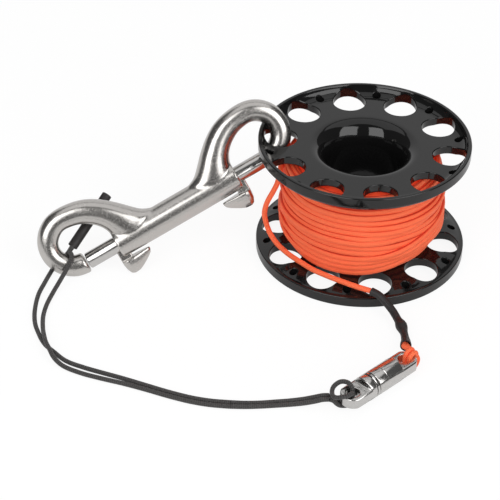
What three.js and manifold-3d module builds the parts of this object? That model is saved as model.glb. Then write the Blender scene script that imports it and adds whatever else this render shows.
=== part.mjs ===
// Finger spool: a flanged line spool, its wound line, a swivel and lanyard, and a double-ended bolt snap.
// Millimetres, +Z up. Everything is placed in the spool's frame, whose Z axis is the spool's own axis
// and whose z = 0 is the table. The finished group is shifted so that its origin lies on the table,
// at the middle of the spool and the snap together.
import * as THREE from "three";
import { mergeVertices } from "three/addons/utils/BufferGeometryUtils.js";
import Module from "manifold-3d";

const wasm = await Module();
wasm.setup();

// General clearances
const clearance = 0.3; // between pieces that touch
const overrun = 1; // how far a cutter runs past the face it cuts
const tolerance = 0.0001; // corners nearer than this are one

// Spool
const spool = {
  flangeRadius: 45,
  height: 55,
  boreRadius: 16,
  hubWall: 3,
  webThickness: 2.7,
  dish: 3.9, // how far the web lies below the rim
  rimHeight: 4.6,
  rimWidth: 1.8,
  dishBlend: 4.6, // width of the concave blend from the web up to the rim
  underBlend: 4.4, // width of the slope from the rim down to the web's inner face
  mouthFlare: 5, // how much the bore widens at its mouth
  mouthDepth: 8,
  hubFillet: 2.2,
  spigotLength: 4,
  holeCount: 10,
  holeInset: 9.1, // from the flange's edge in to the circle of the large holes
  holeRadius: 7.1,
  tieHoleInset: 4.4,
  tieHoleRadius: 1.4,
  holePhase: -9.3, // degrees, first large hole from +X
  snapHole: 5, // which large hole the snap is clipped through
  segments: 36,
  holeSegments: 16,
  tieHoleSegments: 8,
};

// Wound line
const line = {
  diameter: 1.85,
  tailDiameter: 2.3, // of the free end, which isn't drawn tight
  pitch: 2.32,
  packRadius: 34.3, // outside of the pack at its middle
  packCrown: 1.9, // how much smaller the pack is beside the flanges
  topClearance: 0.6,
  leaveAngle: 180, // degrees, where the free end leaves the pack
  leaveHeight: 40.6,
  crossHeight: 43.6, // highest point of the turn that crosses back
  crossingAngle: 288, // degrees that the last turn takes to cross back over the others
  riseAngle: 128,
  liftAngle: 46,
  tilt: 0.35, // lean of the hand-wound turns
  steps: 24,
  sides: 6,
};

// Shrink sleeve over the line's knot. The shares are of its length, from the spool's end.
const sleeve = {
  radius: 1.7,
  knotRadius: 2.45,
  mouthRadius: 2.35,
  knotShare: 0.62,
  knotWidthShare: 0.13,
  flareShare: 0.8,
};
const lanyard = { diameter: 1.9, sides: 8, sleeveRadius: 2.15 };

// Swivel
const swivel = {
  radius: 5.2,
  chamfer: 0.5,
  lineEnd: 24.8, // from the seam to the end of the line's eye
  cordEnd: 15.2, // from the seam to the end of the lanyard's eye
  lineTongue: 10.4,
  cordShoulder: 3.4,
  tongueThickness: 4.6,
  holeRadius: 2.7,
  holeChamfer: 0.5,
  holeFromEnd: 4.9,
  seamX: 1.1,
  seamY: -101.5,
  heading: 45, // degrees, seen from above
  flange: 1.2, // thickness of the bush's flange, seen as the seam
  boreRadius: 3.4,
  bushLength: 4.5,
  stemRadius: 1.6,
  headLength: 1.6,
  segments: 20,
};

// Bolt snap. Its own frame has X along the barrel and Z towards the side that the hooks bulge to.
const snap = {
  barrelRadius: 6.3,
  barrelHalf: 29.5, // from the middle to the barrel's mouth
  mouthChamfer: 0.7,
  hookSetOut: 15, // from the mouth to the centre of the hook's bow
  hookRadius: 15.4, // outside of the bow
  hookSides: 12,
  tipRadius: 4.65,
  tipRound: 0.9,
  tipAngle: -91, // degrees, where the bow ends at the bolt's nose
  noseGap: 0.6,
  coreWall: 3.6, // solid middle between the two spring bores
  heading: 19.3, // degrees, seen from above
  lean: 26.5, // degrees that the hooks lean back from upright
  passAlong: 9.6, // the point of the bow that sits in the flange's hole, from the bow's centre
  passRise: 5,
  passInset: 0.1, // how far that point lies from the hole's centre towards the spool's axis
  passAside: 0.9, // how far to the side of it
  passLift: 0.38, // and how far above the top of the web
  segments: 20,
};
const gate = {
  radius: 3.55,
  boreClearance: 0.3,
  shoulderInset: 10, // from the barrel's mouth in to the bolt's shoulder, gate closed
  spigotRadius: 1.9,
  spigotLength: 3,
  noseChamfer: 0.6,
  travel: 12,
  studRadius: 1,
  studSeat: 0.4, // height of the stud's socket above the bolt's axis
  postLength: 5.3, // along the barrel
  postThickness: 3.2,
  postReach: 1.9, // from the barrel's mouth out to the post's outer face, gate closed
  padTop: 7.7, // from the barrel's axis down to the pad
  padBottom: 14.8,
  padLength: 13.3,
  padHalfWidth: 3.6,
  padSides: 8,
  slotClearance: 0.4,
};
const spring = { wire: 0.5, coilRadius: 2.8, turns: 6, steps: 8, sides: 5 };

// Colours and finishes
const blackPlastic = new THREE.MeshStandardMaterial({ color: 0x1c1c1e, roughness: 0.18, metalness: 0 });
const orangeLine = new THREE.MeshStandardMaterial({ color: 0xff5a2b, roughness: 0.75, metalness: 0 });
const blackCord = new THREE.MeshStandardMaterial({ color: 0x2b2a2a, roughness: 0.85, metalness: 0 });
const shrinkSleeve = new THREE.MeshStandardMaterial({ color: 0x1a1818, roughness: 0.6, metalness: 0 });
const forgedSteel = new THREE.MeshStandardMaterial({ color: 0xc9c5be, roughness: 0.3, metalness: 1 });
const polishedSteel = new THREE.MeshStandardMaterial({ color: 0xdcdad6, roughness: 0.12, metalness: 1 });
const springSteel = new THREE.MeshStandardMaterial({ color: 0xa8a8a8, roughness: 0.35, metalness: 1 });

const radians = THREE.MathUtils.degToRad;
const smooth = THREE.MathUtils.smoothstep;

// Solids: a merged, closed copy of a geometry, and back again
function solidOf(geometry) {
  const bare = geometry.clone();
  bare.deleteAttribute("normal");
  bare.deleteAttribute("uv");
  const merged = mergeVertices(bare, tolerance);
  return new wasm.Manifold(
    new wasm.Mesh({
      numProp: 3,
      vertProperties: new Float32Array(merged.attributes.position.array),
      triVerts: new Uint32Array(merged.index.array),
    }),
  );
}

function geometryOf(solid) {
  const mesh = solid.getMesh();
  const geometry = new THREE.BufferGeometry();
  geometry.setAttribute("position", new THREE.BufferAttribute(mesh.vertProperties, 3));
  geometry.setIndex(new THREE.BufferAttribute(mesh.triVerts, 1));
  return geometry;
}

function join(first, ...others) {
  return others.reduce((sum, other) => sum.add(other), first);
}

function cut(first, ...others) {
  return others.reduce((rest, other) => rest.subtract(other), first);
}

function named(name, geometry, material) {
  const mesh = new THREE.Mesh(geometry, material);
  mesh.name = name;
  return mesh;
}

// A solid turned about Z from a profile of [radius, height] points that runs round anticlockwise
function turned(profile, segments) {
  const points = [...profile, profile[0]].map(([radius, height]) => new THREE.Vector2(radius, height));
  return new THREE.LatheGeometry(points, segments).rotateX(Math.PI / 2);
}

// A round bar along Z from one height to another, with chamfered ends
function bar(radius, from, to, segments, chamfer = 0) {
  const profile = [
    [0, from],
    [radius - chamfer, from],
    [radius, from + chamfer],
    [radius, to - chamfer],
    [radius - chamfer, to],
    [0, to],
  ];
  const points = (chamfer > 0 ? profile : [profile[0], profile[2], profile[3], profile[5]]).map(
    ([r, z]) => new THREE.Vector2(r, z),
  );
  return new THREE.LatheGeometry(points, segments).rotateX(Math.PI / 2);
}

// The same bar along X
function barX(radius, from, to, segments, chamfer = 0) {
  return bar(radius, from, to, segments, chamfer).rotateY(Math.PI / 2);
}

// A closed skin through rings of equal length, with flat ends
function loft(rings) {
  const sides = rings[0].length;
  const position = rings.flat().flatMap((point) => [point.x, point.y, point.z]);
  const index = [];
  for (let ring = 0; ring < rings.length - 1; ring++) {
    for (let side = 0; side < sides; side++) {
      const next = (side + 1) % sides;
      const a = ring * sides + side;
      const b = ring * sides + next;
      index.push(a, b, b + sides, a, b + sides, a + sides);
    }
  }
  const last = (rings.length - 1) * sides;
  for (let side = 1; side < sides - 1; side++) {
    index.push(0, side + 1, side);
    index.push(last, last + side, last + side + 1);
  }
  const geometry = new THREE.BufferGeometry();
  geometry.setAttribute("position", new THREE.Float32BufferAttribute(position, 3));
  geometry.setIndex(index);
  return geometry;
}

// A tube through the points of a path, square to it at each point
function tubeThrough(path, radius, sides) {
  const rings = [];
  let normal = null;
  path.forEach((point, step) => {
    const before = path[Math.max(step - 1, 0)];
    const after = path[Math.min(step + 1, path.length - 1)];
    const along = after.clone().sub(before).normalize();
    if (!normal) {
      const away = Math.abs(along.z) < 0.9 ? new THREE.Vector3(0, 0, 1) : new THREE.Vector3(1, 0, 0);
      normal = away.cross(along).normalize();
    }
    normal.addScaledVector(along, -normal.dot(along)).normalize();
    const side = along.clone().cross(normal);
    const ring = [];
    for (let corner = 0; corner < sides; corner++) {
      const turn = (2 * Math.PI * corner) / sides;
      ring.push(
        point
          .clone()
          .addScaledVector(normal, radius * Math.cos(turn))
          .addScaledVector(side, radius * Math.sin(turn)),
      );
    }
    rings.push(ring);
  });
  return loft(rings);
}

// A cord of round section along a smooth curve through chosen points
function cord(points, radius, sides, steps) {
  const section = new THREE.Shape();
  for (let corner = 0; corner < sides; corner++) {
    const turn = (2 * Math.PI * corner) / sides;
    section[corner ? "lineTo" : "moveTo"](radius * Math.cos(turn), radius * Math.sin(turn));
  }
  const extrudePath = curveThrough(points);
  return new THREE.ExtrudeGeometry(section, { steps, extrudePath, curveSegments: sides });
}

// Spool

const half = spool.height / 2;
const hubRadius = spool.boreRadius + spool.hubWall;
const webTop = spool.height - spool.dish;
const webUnder = webTop - spool.webThickness;
const windowBottom = spool.height - webUnder; // height of the lower web's inner face
const holeCircle = spool.flangeRadius - spool.holeInset;
const tieHoleCircle = spool.flangeRadius - spool.tieHoleInset;

// The section of the upper half, from the parting plane up round the bore, the dished face and the rim
function halfSection() {
  const { flangeRadius, height, boreRadius, rimWidth, rimHeight, mouthFlare, mouthDepth } = spool;
  const points = [];
  const flareSteps = 4;
  const spigotRadius = boreRadius + spool.hubWall / 2 - clearance / 2;
  const spigotBottom = half - spool.spigotLength;
  points.push([spigotRadius, half], [spigotRadius, spigotBottom], [boreRadius, spigotBottom]);
  for (let step = 0; step <= flareSteps; step++) {
    const turn = (Math.PI / 2) * (step / flareSteps);
    points.push([
      boreRadius + mouthFlare * (1 - Math.cos(turn)),
      webTop - mouthDepth * (1 - Math.sin(turn)),
    ]);
  }
  const blendFoot = flangeRadius - rimWidth - spool.dishBlend;
  const blendSteps = 3;
  for (let step = 0; step <= blendSteps; step++) {
    const turn = (Math.PI / 2) * (step / blendSteps);
    points.push([blendFoot + spool.dishBlend * Math.sin(turn), height - spool.dish * Math.cos(turn)]);
  }
  const rimRound = rimWidth / 3;
  points.push(
    [flangeRadius - rimRound, height],
    [flangeRadius, height - rimRound],
    [flangeRadius, height - rimHeight + rimRound],
    [flangeRadius - rimRound, height - rimHeight],
    [flangeRadius - rimWidth, height - rimHeight],
    [flangeRadius - rimWidth - spool.underBlend, webUnder],
    [hubRadius + spool.hubFillet, webUnder],
    [hubRadius + spool.hubFillet * (1 - Math.SQRT1_2), webUnder - spool.hubFillet * (1 - Math.SQRT1_2)],
    [hubRadius, webUnder - spool.hubFillet],
    [hubRadius, half],
  );
  return points;
}

// The lower half has a socket where the upper half has its spigot
function lowerSection() {
  const upper = halfSection().slice(3);
  const socketRadius = spool.boreRadius + spool.hubWall / 2 + clearance / 2;
  const lowered = upper.map(([radius, height]) => [radius, spool.height - height]);
  const joint = half - clearance;
  lowered[lowered.length - 1] = [hubRadius, joint];
  const seat = half - spool.spigotLength - clearance;
  return [[spool.boreRadius, seat], ...lowered, [socketRadius, joint], [socketRadius, seat]];
}

function flangeHoles(from, to) {
  const cutters = [];
  const spacing = 360 / spool.holeCount;
  for (let hole = 0; hole < spool.holeCount; hole++) {
    const angle = radians(spool.holePhase + spacing * hole);
    const between = angle + radians(spacing / 2);
    const large = bar(spool.holeRadius, from, to, spool.holeSegments);
    large.translate(holeCircle * Math.cos(angle), holeCircle * Math.sin(angle), 0);
    const small = bar(spool.tieHoleRadius, from, to, spool.tieHoleSegments);
    small.translate(tieHoleCircle * Math.cos(between), tieHoleCircle * Math.sin(between), 0);
    cutters.push(solidOf(large), solidOf(small));
  }
  return cutters;
}

function spoolHalves() {
  const upper = cut(
    solidOf(turned(halfSection().reverse(), spool.segments)),
    ...flangeHoles(webUnder - overrun, spool.height + overrun),
  );
  const lower = cut(
    solidOf(turned(lowerSection(), spool.segments)),
    ...flangeHoles(-overrun, windowBottom + overrun),
  );
  return [
    named("spool_half_upper", geometryOf(upper), blackPlastic),
    named("spool_half_lower", geometryOf(lower), blackPlastic),
  ];
}

// Wound line

const lineRadius = line.diameter / 2;
const packBottom = windowBottom + clearance;
const packTop = webUnder - clearance;

// Radius of the outer layer's centre line at a height: the pack is slightly crowned
function layerRadius(height) {
  const middle = (packTop + packBottom) / 2;
  const share = (height - middle) / ((packTop - packBottom) / 2);
  return line.packRadius - line.packCrown * share * share - lineRadius;
}

// The outer layer runs down from the top flange to the lower one, then crosses back over itself
function windingPath() {
  const path = [];
  const top = packTop - lineRadius - line.topClearance;
  const bottom = packBottom + lineRadius + line.topClearance;
  const turns = (top - bottom) / line.pitch;
  const steps = Math.floor(turns * line.steps);
  const place = (angle, height, lift) => {
    const turn = radians(angle);
    const radius = layerRadius(height) + lift;
    path.push(new THREE.Vector3(radius * Math.cos(turn), radius * Math.sin(turn), height));
  };
  const degrees = 360 / line.steps;
  const lastAngle = line.leaveAngle - line.crossingAngle;
  const firstAngle = lastAngle - steps * degrees;
  for (let step = 0; step <= steps; step++) {
    const angle = firstAngle + step * degrees;
    const fade = Math.sin((Math.PI * step) / steps);
    const height = top - (step / line.steps) * line.pitch + line.tilt * fade * Math.cos(radians(angle));
    place(angle, height, 0);
  }
  const crossingSteps = Math.round(line.crossingAngle / degrees);
  const start = top - (steps / line.steps) * line.pitch;
  for (let step = 1; step <= crossingSteps; step++) {
    const turned = (step / crossingSteps) * line.crossingAngle;
    const lift = (line.diameter + 2 * clearance) * smooth(turned, 0, line.liftAngle);
    const drift = -line.pitch * (turned / 360) * (1 - smooth(turned, 0, line.liftAngle));
    const rise = (line.crossHeight - start) * smooth(turned, line.liftAngle, line.riseAngle);
    const sag = (line.crossHeight - line.leaveHeight) * smooth(turned, line.riseAngle, line.crossingAngle);
    place(lastAngle + turned, start + rise - sag + drift, lift);
  }
  return path;
}

// Least clear distance between turns of the tube, measured on the points of its path
function leastGap(path, diameter, turnSteps) {
  let least = Infinity;
  for (let i = 0; i < path.length; i++) {
    for (let j = i + Math.floor(turnSteps / 2); j < path.length - 1; j++) {
      const segment = new THREE.Line3(path[j], path[j + 1]);
      const nearest = segment.closestPointToPoint(path[i], true, new THREE.Vector3());
      least = Math.min(least, nearest.distanceTo(path[i]) - diameter);
    }
  }
  return least;
}

function woundLine() {
  const path = windingPath();
  const gap = leastGap(path, line.diameter, line.steps);
  console.log("line winding: least gap to itself", gap.toFixed(3), "mm");
  const crownSteps = 4;
  const outside = [];
  for (let step = 0; step <= crownSteps; step++) {
    const height = packBottom + ((packTop - packBottom) * step) / crownSteps;
    const chord = Math.cos(Math.PI / line.steps);
    outside.push([(layerRadius(height) - lineRadius) * chord - clearance, height]);
  }
  const foot = spool.hubFillet + clearance;
  const inner = hubRadius + clearance;
  const inside = [
    [inner + foot, packTop],
    [inner, packTop - foot],
    [inner, packBottom + foot],
  ];
  const core = turned([[inner + foot, packBottom], ...outside, ...inside], spool.segments);
  return [
    named("line_core", core, orangeLine),
    named("line_winding", tubeThrough(path, lineRadius, line.sides), orangeLine),
  ];
}

// Free line: its end, the sleeve over its knot, and its loop through the swivel

const tailRoute = [
  [-35.1, -0.4, 40.6],
  [-35.2, -2.4, 40.4],
  [-35.6, -5.2, 39.2],
  [-36.6, -7.9, 36.6],
  [-38.3, -9.2, 33.2],
  [-40.1, -9.2, 29.2],
  [-41.2, -8.4, 25.0],
  [-41.6, -7.6, 20.6],
  [-40.8, -7.6, 16.0],
  [-38.8, -9.4, 11.4],
  [-35.8, -13.0, 8.9],
  [-31.4, -18.8, 8.2],
  [-26.2, -24.6, 8.2],
  [-20.8, -30.0, 8.2],
  [-15.2, -34.0, 8.2],
  [-9.4, -37.6, 8.2],
  [-2.6, -41.2, 8.1],
  [3.0, -43.6, 7.9],
];
const sleeveRoute = [
  [3.4, -43.8, 7.9],
  [6.4, -45.6, 7.3],
  [9.4, -48.4, 5.7],
  [12.2, -52.0, 4.0],
  [14.2, -56.4, 2.9],
  [15.5, -60.6, 2.8],
  [16.3, -65.4, 2.9],
  [16.6, -71.0, 3.7],
  [16.3, -76.8, 5.6],
];

function curveThrough(points) {
  const places = points.map((point) => new THREE.Vector3(...point));
  return new THREE.CatmullRomCurve3(places, false, "centripetal");
}

// A tube whose radius changes from point to point
function tubeOfWidths(path, radii, sides) {
  const unit = tubeThrough(path, 1, sides);
  const position = unit.attributes.position;
  path.forEach((centre, ring) => {
    for (let corner = 0; corner < sides; corner++) {
      const vertex = ring * sides + corner;
      const spoke = new THREE.Vector3().fromBufferAttribute(position, vertex).sub(centre);
      const point = centre.clone().addScaledVector(spoke, radii[ring]);
      position.setXYZ(vertex, point.x, point.y, point.z);
    }
  });
  return unit;
}

function lineSleeve() {
  const route = curveThrough(sleeveRoute);
  const steps = 2 * (sleeveRoute.length - 1);
  const path = [];
  const radii = [];
  for (let step = 0; step <= steps; step++) {
    const share = step / steps;
    const bulge = Math.max(0, 1 - Math.abs(share - sleeve.knotShare) / sleeve.knotWidthShare);
    const flare = smooth(share, sleeve.flareShare, 1);
    path.push(route.getPoint(share));
    radii.push(
      sleeve.radius +
        (sleeve.knotRadius - sleeve.radius) * smooth(bulge, 0, 1) +
        (sleeve.mouthRadius - sleeve.radius) * flare,
    );
  }
  return tubeOfWidths(path, radii, lanyard.sides);
}

// Swivel, along X with its seam at x = 0 and the line's eye on the +X side

// A tongue with a full-round end and a cross hole, milled from the round bar and left with its shoulder
function swivelEye(length, shoulder) {
  const { radius, tongueThickness, holeRadius, holeFromEnd, segments } = swivel;
  const outline = new THREE.Shape();
  const centre = length - radius;
  outline.moveTo(0, -radius);
  outline.lineTo(centre, -radius);
  outline.absarc(centre, 0, radius, -Math.PI / 2, Math.PI / 2, false);
  outline.lineTo(0, radius);
  outline.closePath();
  const tongue = new THREE.ExtrudeGeometry(outline, {
    depth: tongueThickness,
    bevelEnabled: false,
    curveSegments: segments / 2,
  });
  tongue.translate(0, 0, -tongueThickness / 2);
  const round = solidOf(barX(radius, 0, length, segments));
  const stock = solidOf(barX(radius, 0, shoulder, segments, swivel.chamfer));
  const hole = bar(holeRadius, -tongueThickness, tongueThickness, segments / 2);
  const flare = holeRadius + swivel.holeChamfer;
  const top = tongueThickness / 2;
  const sinkDepth = swivel.holeChamfer;
  const sink = turned(
    [
      [0, top - sinkDepth],
      [holeRadius, top - sinkDepth],
      [flare, top],
      [flare, top + overrun],
      [0, top + overrun],
    ],
    segments / 2,
  );
  const lowerSink = sink.clone().rotateX(Math.PI);
  const at = length - holeFromEnd;
  const blank = join(stock, solidOf(tongue).intersect(round));
  return cut(
    blank,
    ...[hole, sink, lowerSink].map((cutter) => solidOf(cutter.translate(at, 0, 0))),
  );
}

function flip(geometry) {
  return geometry.rotateZ(Math.PI);
}

function swivelPieces() {
  const { radius, flange, boreRadius, bushLength, stemRadius, headLength, segments } = swivel;
  const halfFlange = flange / 2;
  const boreDepth = bushLength + clearance + headLength + clearance;
  const barrelLength = swivel.lineEnd - halfFlange - clearance;
  const shoulder = barrelLength - swivel.lineTongue;
  const bore = solidOf(barX(boreRadius, -overrun, boreDepth, segments));
  const barrel = geometryOf(cut(swivelEye(barrelLength, shoulder), bore));
  barrel.translate(halfFlange + clearance, 0, 0);

  const bushBore = stemRadius + clearance;
  const bush = turned(
    [
      [bushBore, -halfFlange],
      [radius, -halfFlange],
      [radius, halfFlange],
      [boreRadius - clearance, halfFlange],
      [boreRadius - clearance, halfFlange + bushLength],
      [bushBore, halfFlange + bushLength],
    ],
    segments,
  );
  bush.rotateY(Math.PI / 2);

  const eyeLength = swivel.cordEnd - halfFlange - clearance;
  const eye = flip(geometryOf(swivelEye(eyeLength, swivel.cordShoulder)));
  eye.translate(-halfFlange - clearance, 0, 0);
  const stemEnd = halfFlange + bushLength + clearance;
  const stem = barX(stemRadius, -halfFlange - clearance - overrun, stemEnd + overrun, segments / 2);
  const head = barX(boreRadius - clearance, stemEnd, stemEnd + headLength, segments / 2);
  const riveted = join(solidOf(eye), solidOf(stem), solidOf(head));
  return [
    named("swivel_barrel", barrel, polishedSteel),
    named("swivel_bush", bush, polishedSteel),
    named("swivel_eye", geometryOf(riveted), polishedSteel),
  ];
}

// The line's loop through the swivel's eye, and the lanyard's hitch on the other eye
const loopRoute = [
  [15.1, -77.35, 5.8],
  [15.0, -79.1, 6.5],
  [14.9, -82.3, 8.85],
  [15.3, -85.1, 8.9],
  [15.4, -86.9, 6.9],
  [15.2, -87.2, 4.3],
  [15.4, -86.4, 1.9],
  [16.8, -84.3, 1.5],
  [18.6, -81.8, 2.4],
  [18.1, -80.5, 4.8],
  [17.4, -79.2, 6.4],
  [17.4, -77.4, 5.8],
];
const hitchRoute = [
  [-15.2, -107.58, 4.6],
  [-13.7, -107.58, 4.0],
  [-12.3, -107.58, 2.5],
  [-11.0, -107.58, 1.65],
  [-8.8, -107.58, 1.6],
  [-7.3, -107.58, 2.2],
  [-6.4, -107.58, 4.2],
  [-6.2, -107.58, 6.3],
  [-6.5, -106.95, 8.3],
  [-7.9, -104.9, 9.0],
  [-10.6, -104.0, 8.8],
  [-12.9, -104.9, 7.9],
  [-14.1, -106.9, 7.3],
  [-14.1, -110.6, 7.2],
  [-12.9, -112.6, 7.8],
  [-10.6, -113.5, 8.8],
  [-7.9, -112.6, 9.0],
  [-6.5, -110.6, 8.3],
  [-6.2, -109.98, 6.3],
  [-6.4, -109.98, 4.2],
  [-7.3, -109.98, 2.2],
  [-8.8, -109.98, 1.6],
  [-11.0, -109.98, 1.65],
  [-12.3, -109.98, 2.5],
  [-13.7, -109.98, 4.0],
  [-15.2, -109.98, 4.6],
];

// The lanyard's two strands, each in a stretch beside the swivel and one up to the snap's eye
const leadRouteA = [
  [-15.85, -107.6, 4.6],
  [-17.8, -107.5, 4.5],
  [-20.7, -107.3, 3.7],
  [-25.2, -107.0, 2.4],
  [-30.6, -106.9, 1.4],
  [-36.4, -107.6, 1.1],
  [-42.4, -108.6, 1.1],
  [-48.3, -109.0, 1.1],
  [-54.0, -108.9, 1.1],
];
const leadRouteB = [
  [-15.85, -110.0, 4.6],
  [-17.8, -110.1, 4.4],
  [-20.7, -110.3, 3.5],
  [-25.2, -110.4, 2.3],
  [-30.6, -110.4, 1.4],
  [-36.4, -110.7, 1.1],
  [-42.4, -111.1, 1.1],
  [-48.3, -111.4, 1.1],
  [-54.0, -111.3, 1.1],
];
const strandRouteA = [
  [-54.4, -108.9, 1.1],
  [-61.6, -108.2, 1.1],
  [-69.1, -106.6, 1.1],
  [-78.3, -103.4, 1.1],
  [-87.6, -99.5, 1.1],
  [-97.0, -95.5, 1.1],
  [-104.5, -92.6, 1.1],
  [-113.0, -89.2, 1.1],
  [-120.7, -85.2, 1.1],
  [-126.4, -79.2, 1.1],
  [-129.6, -75.6, 1.1],
  [-131.7, -71.9, 1.1],
  [-133.4, -67.7, 1.1],
  [-135.2, -62.3, 1.1],
  [-136.2, -56.1, 1.1],
  [-136.4, -48.6, 1.1],
  [-135.8, -41.0, 1.1],
  [-134.0, -33.2, 1.1],
  [-132.6, -27.6, 1.1],
  [-131.0, -22.4, 1.2],
  [-128.8, -19.8, 2.5],
  [-126.4, -19.1, 4.9],
  [-124.9, -19.9, 7.4],
  [-124.3, -20.9, 9.1],
  [-123.5, -20.6, 10.2],
];
const strandRouteB = [
  [-54.4, -111.3, 1.1],
  [-61.6, -110.6, 1.1],
  [-69.1, -109.0, 1.1],
  [-78.2, -105.9, 1.1],
  [-87.5, -102.1, 1.1],
  [-96.8, -98.6, 1.1],
  [-106.1, -95.6, 1.1],
  [-114.6, -92.4, 1.1],
  [-121.8, -88.4, 1.3],
  [-125.6, -84.6, 2.3],
  [-127.7, -80.6, 3.4],
  [-129.5, -76.3, 3.4],
  [-130.7, -71.6, 3.1],
  [-131.8, -65.4, 2.3],
  [-132.5, -56.4, 1.4],
  [-131.8, -48.6, 1.2],
  [-129.9, -41.0, 1.6],
  [-127.4, -35.0, 3.4],
  [-124.7, -31.8, 7.2],
  [-123.0, -29.8, 10.1],
  [-122.8, -27.0, 11.1],
  [-123.9, -23.8, 10.8],
  [-122.9, -22.4, 11.8],
];
const lanyardSleeveRoute = [
  [-122.9, -21.2, 11.4],
  [-109.2, -2.4, 25.3],
];

// Bolt snap

const mouth = snap.barrelHalf;
const hookCentreAlong = mouth + snap.hookSetOut;
const hookCentreRise = snap.hookRadius - snap.tipRadius;
const tipTurn = radians(snap.tipAngle);
const tipFace = hookCentreAlong + (snap.hookRadius - snap.tipRadius) * Math.cos(tipTurn);

// The hook's rings: round the bow about its centre, then along the neck into the barrel.
// Each neck row gives the inner edge, the outer edge and the half width, as shares of the hook's
// radius about its centre and of the barrel's radius.
const bowTurnShares = [0, 0.13, 0.27, 0.4, 0.52, 0.64, 0.76, 0.88, 1];
const bowThicknessShares = [1, 0.99, 0.97, 0.95, 0.94, 0.96, 1, 1, 1];
const neckShares = [
  [-0.325, 0.341, -0.474, 0.958, 0.76],
  [-0.578, 0.211, -0.877, 0.828, 0.81],
  [-0.773, 0.049, -1.234, 0.607, 0.86],
  [-0.909, -0.146, -1.558, 0.321, 0.9],
  [-0.987, -0.38, -1.831, 0.036, 0.94],
  [-1.032, -0.659, -2.058, -0.179, 0.94],
  [-1.104, -0.821, -2.292, -0.292, 0.88],
  [-1.169, -0.886, -2.5, -0.42, 0.6],
];

function hookSection(inner, outer, halfWidth) {
  const centre = inner.clone().add(outer).divideScalar(2);
  const across = inner.clone().sub(centre);
  const ring = [];
  for (let corner = 0; corner < snap.hookSides; corner++) {
    const turn = (2 * Math.PI * (corner + 1 / 2)) / snap.hookSides;
    const point = centre.clone().addScaledVector(across, Math.cos(turn));
    point.y = -halfWidth * Math.sin(turn);
    ring.push(point);
  }
  return ring;
}

function hook() {
  const about = (along, rise) => new THREE.Vector3(hookCentreAlong + along, 0, hookCentreRise + rise);
  const rings = [];
  const bow = Math.PI / 2 - tipTurn;
  bowTurnShares.forEach((share, step) => {
    const turn = tipTurn + bow * share;
    const thickness = 2 * snap.tipRadius * bowThicknessShares[step];
    const ring = (at, drawIn) => {
      const arm = (radius) => about(radius * Math.cos(at), radius * Math.sin(at));
      const inner = arm(snap.hookRadius - thickness + drawIn);
      rings.push(hookSection(inner, arm(snap.hookRadius - drawIn), snap.tipRadius - drawIn));
    };
    if (step === 0) ring(turn, snap.tipRound);
    ring(step === 0 ? turn + snap.tipRound / (snap.hookRadius - snap.tipRadius) : turn, 0);
  });
  for (const [innerAlong, innerRise, outerAlong, outerRise, width] of neckShares) {
    const scale = snap.hookRadius;
    rings.push(
      hookSection(
        about(scale * innerAlong, scale * innerRise),
        about(scale * outerAlong, scale * outerRise),
        snap.barrelRadius * width,
      ),
    );
  }
  return loft(rings);
}

const gateNose = tipFace - snap.noseGap;
const gateBore = gate.radius + gate.boreClearance;
const boltShoulder = mouth - gate.shoulderInset;
const postOuter = mouth + gate.postReach;
const postInner = postOuter - gate.postLength;

// One side's cuts in the barrel: the bolt's bore and the slot that the thumb post runs in
function barrelCuts() {
  const bore = barX(gateBore, snap.coreWall / 2, mouth + snap.hookSetOut / 2, snap.segments);
  const slotInner = postInner - gate.travel - gate.slotClearance;
  const slotOuter = mouth + overrun;
  const slotWidth = gate.postThickness + 2 * gate.slotClearance;
  const depth = snap.barrelRadius + overrun;
  const slot = new THREE.BoxGeometry(slotOuter - slotInner, slotWidth, depth);
  slot.translate((slotInner + slotOuter) / 2, 0, -depth / 2);
  return [bore, slot];
}

function snapBody() {
  const barrel = barX(snap.barrelRadius, -mouth, mouth, snap.segments, snap.mouthChamfer);
  const right = hook();
  const left = flip(right.clone());
  const cuts = barrelCuts();
  const leftCuts = cuts.map((cutter) => flip(cutter.clone()));
  const body = join(solidOf(barrel), solidOf(right), solidOf(left));
  return geometryOf(cut(body, ...[...cuts, ...leftCuts].map(solidOf)));
}

function gateBolt() {
  const rod = barX(gate.radius, boltShoulder, gateNose, snap.segments, gate.noseChamfer);
  const spigotEnd = boltShoulder - gate.spigotLength;
  const spigot = barX(gate.spigotRadius, spigotEnd, boltShoulder + overrun, snap.segments / 2);
  const socket = bar(gate.studRadius + clearance, -gate.radius - overrun, gate.studSeat, snap.segments / 2);
  socket.translate((postInner + postOuter) / 2, 0, 0);
  return geometryOf(cut(join(solidOf(rod), solidOf(spigot)), solidOf(socket)));
}

// Each row of the pad: its place along the pad, its half width and its depth
const padShares = [
  [0, 0.45, 0.6],
  [0.06, 0.8, 0.86],
  [0.18, 1, 1],
  [0.4, 0.92, 0.96],
  [0.62, 0.72, 0.82],
  [0.86, 0.46, 0.58],
  [1, 0.24, 0.36],
];

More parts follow.
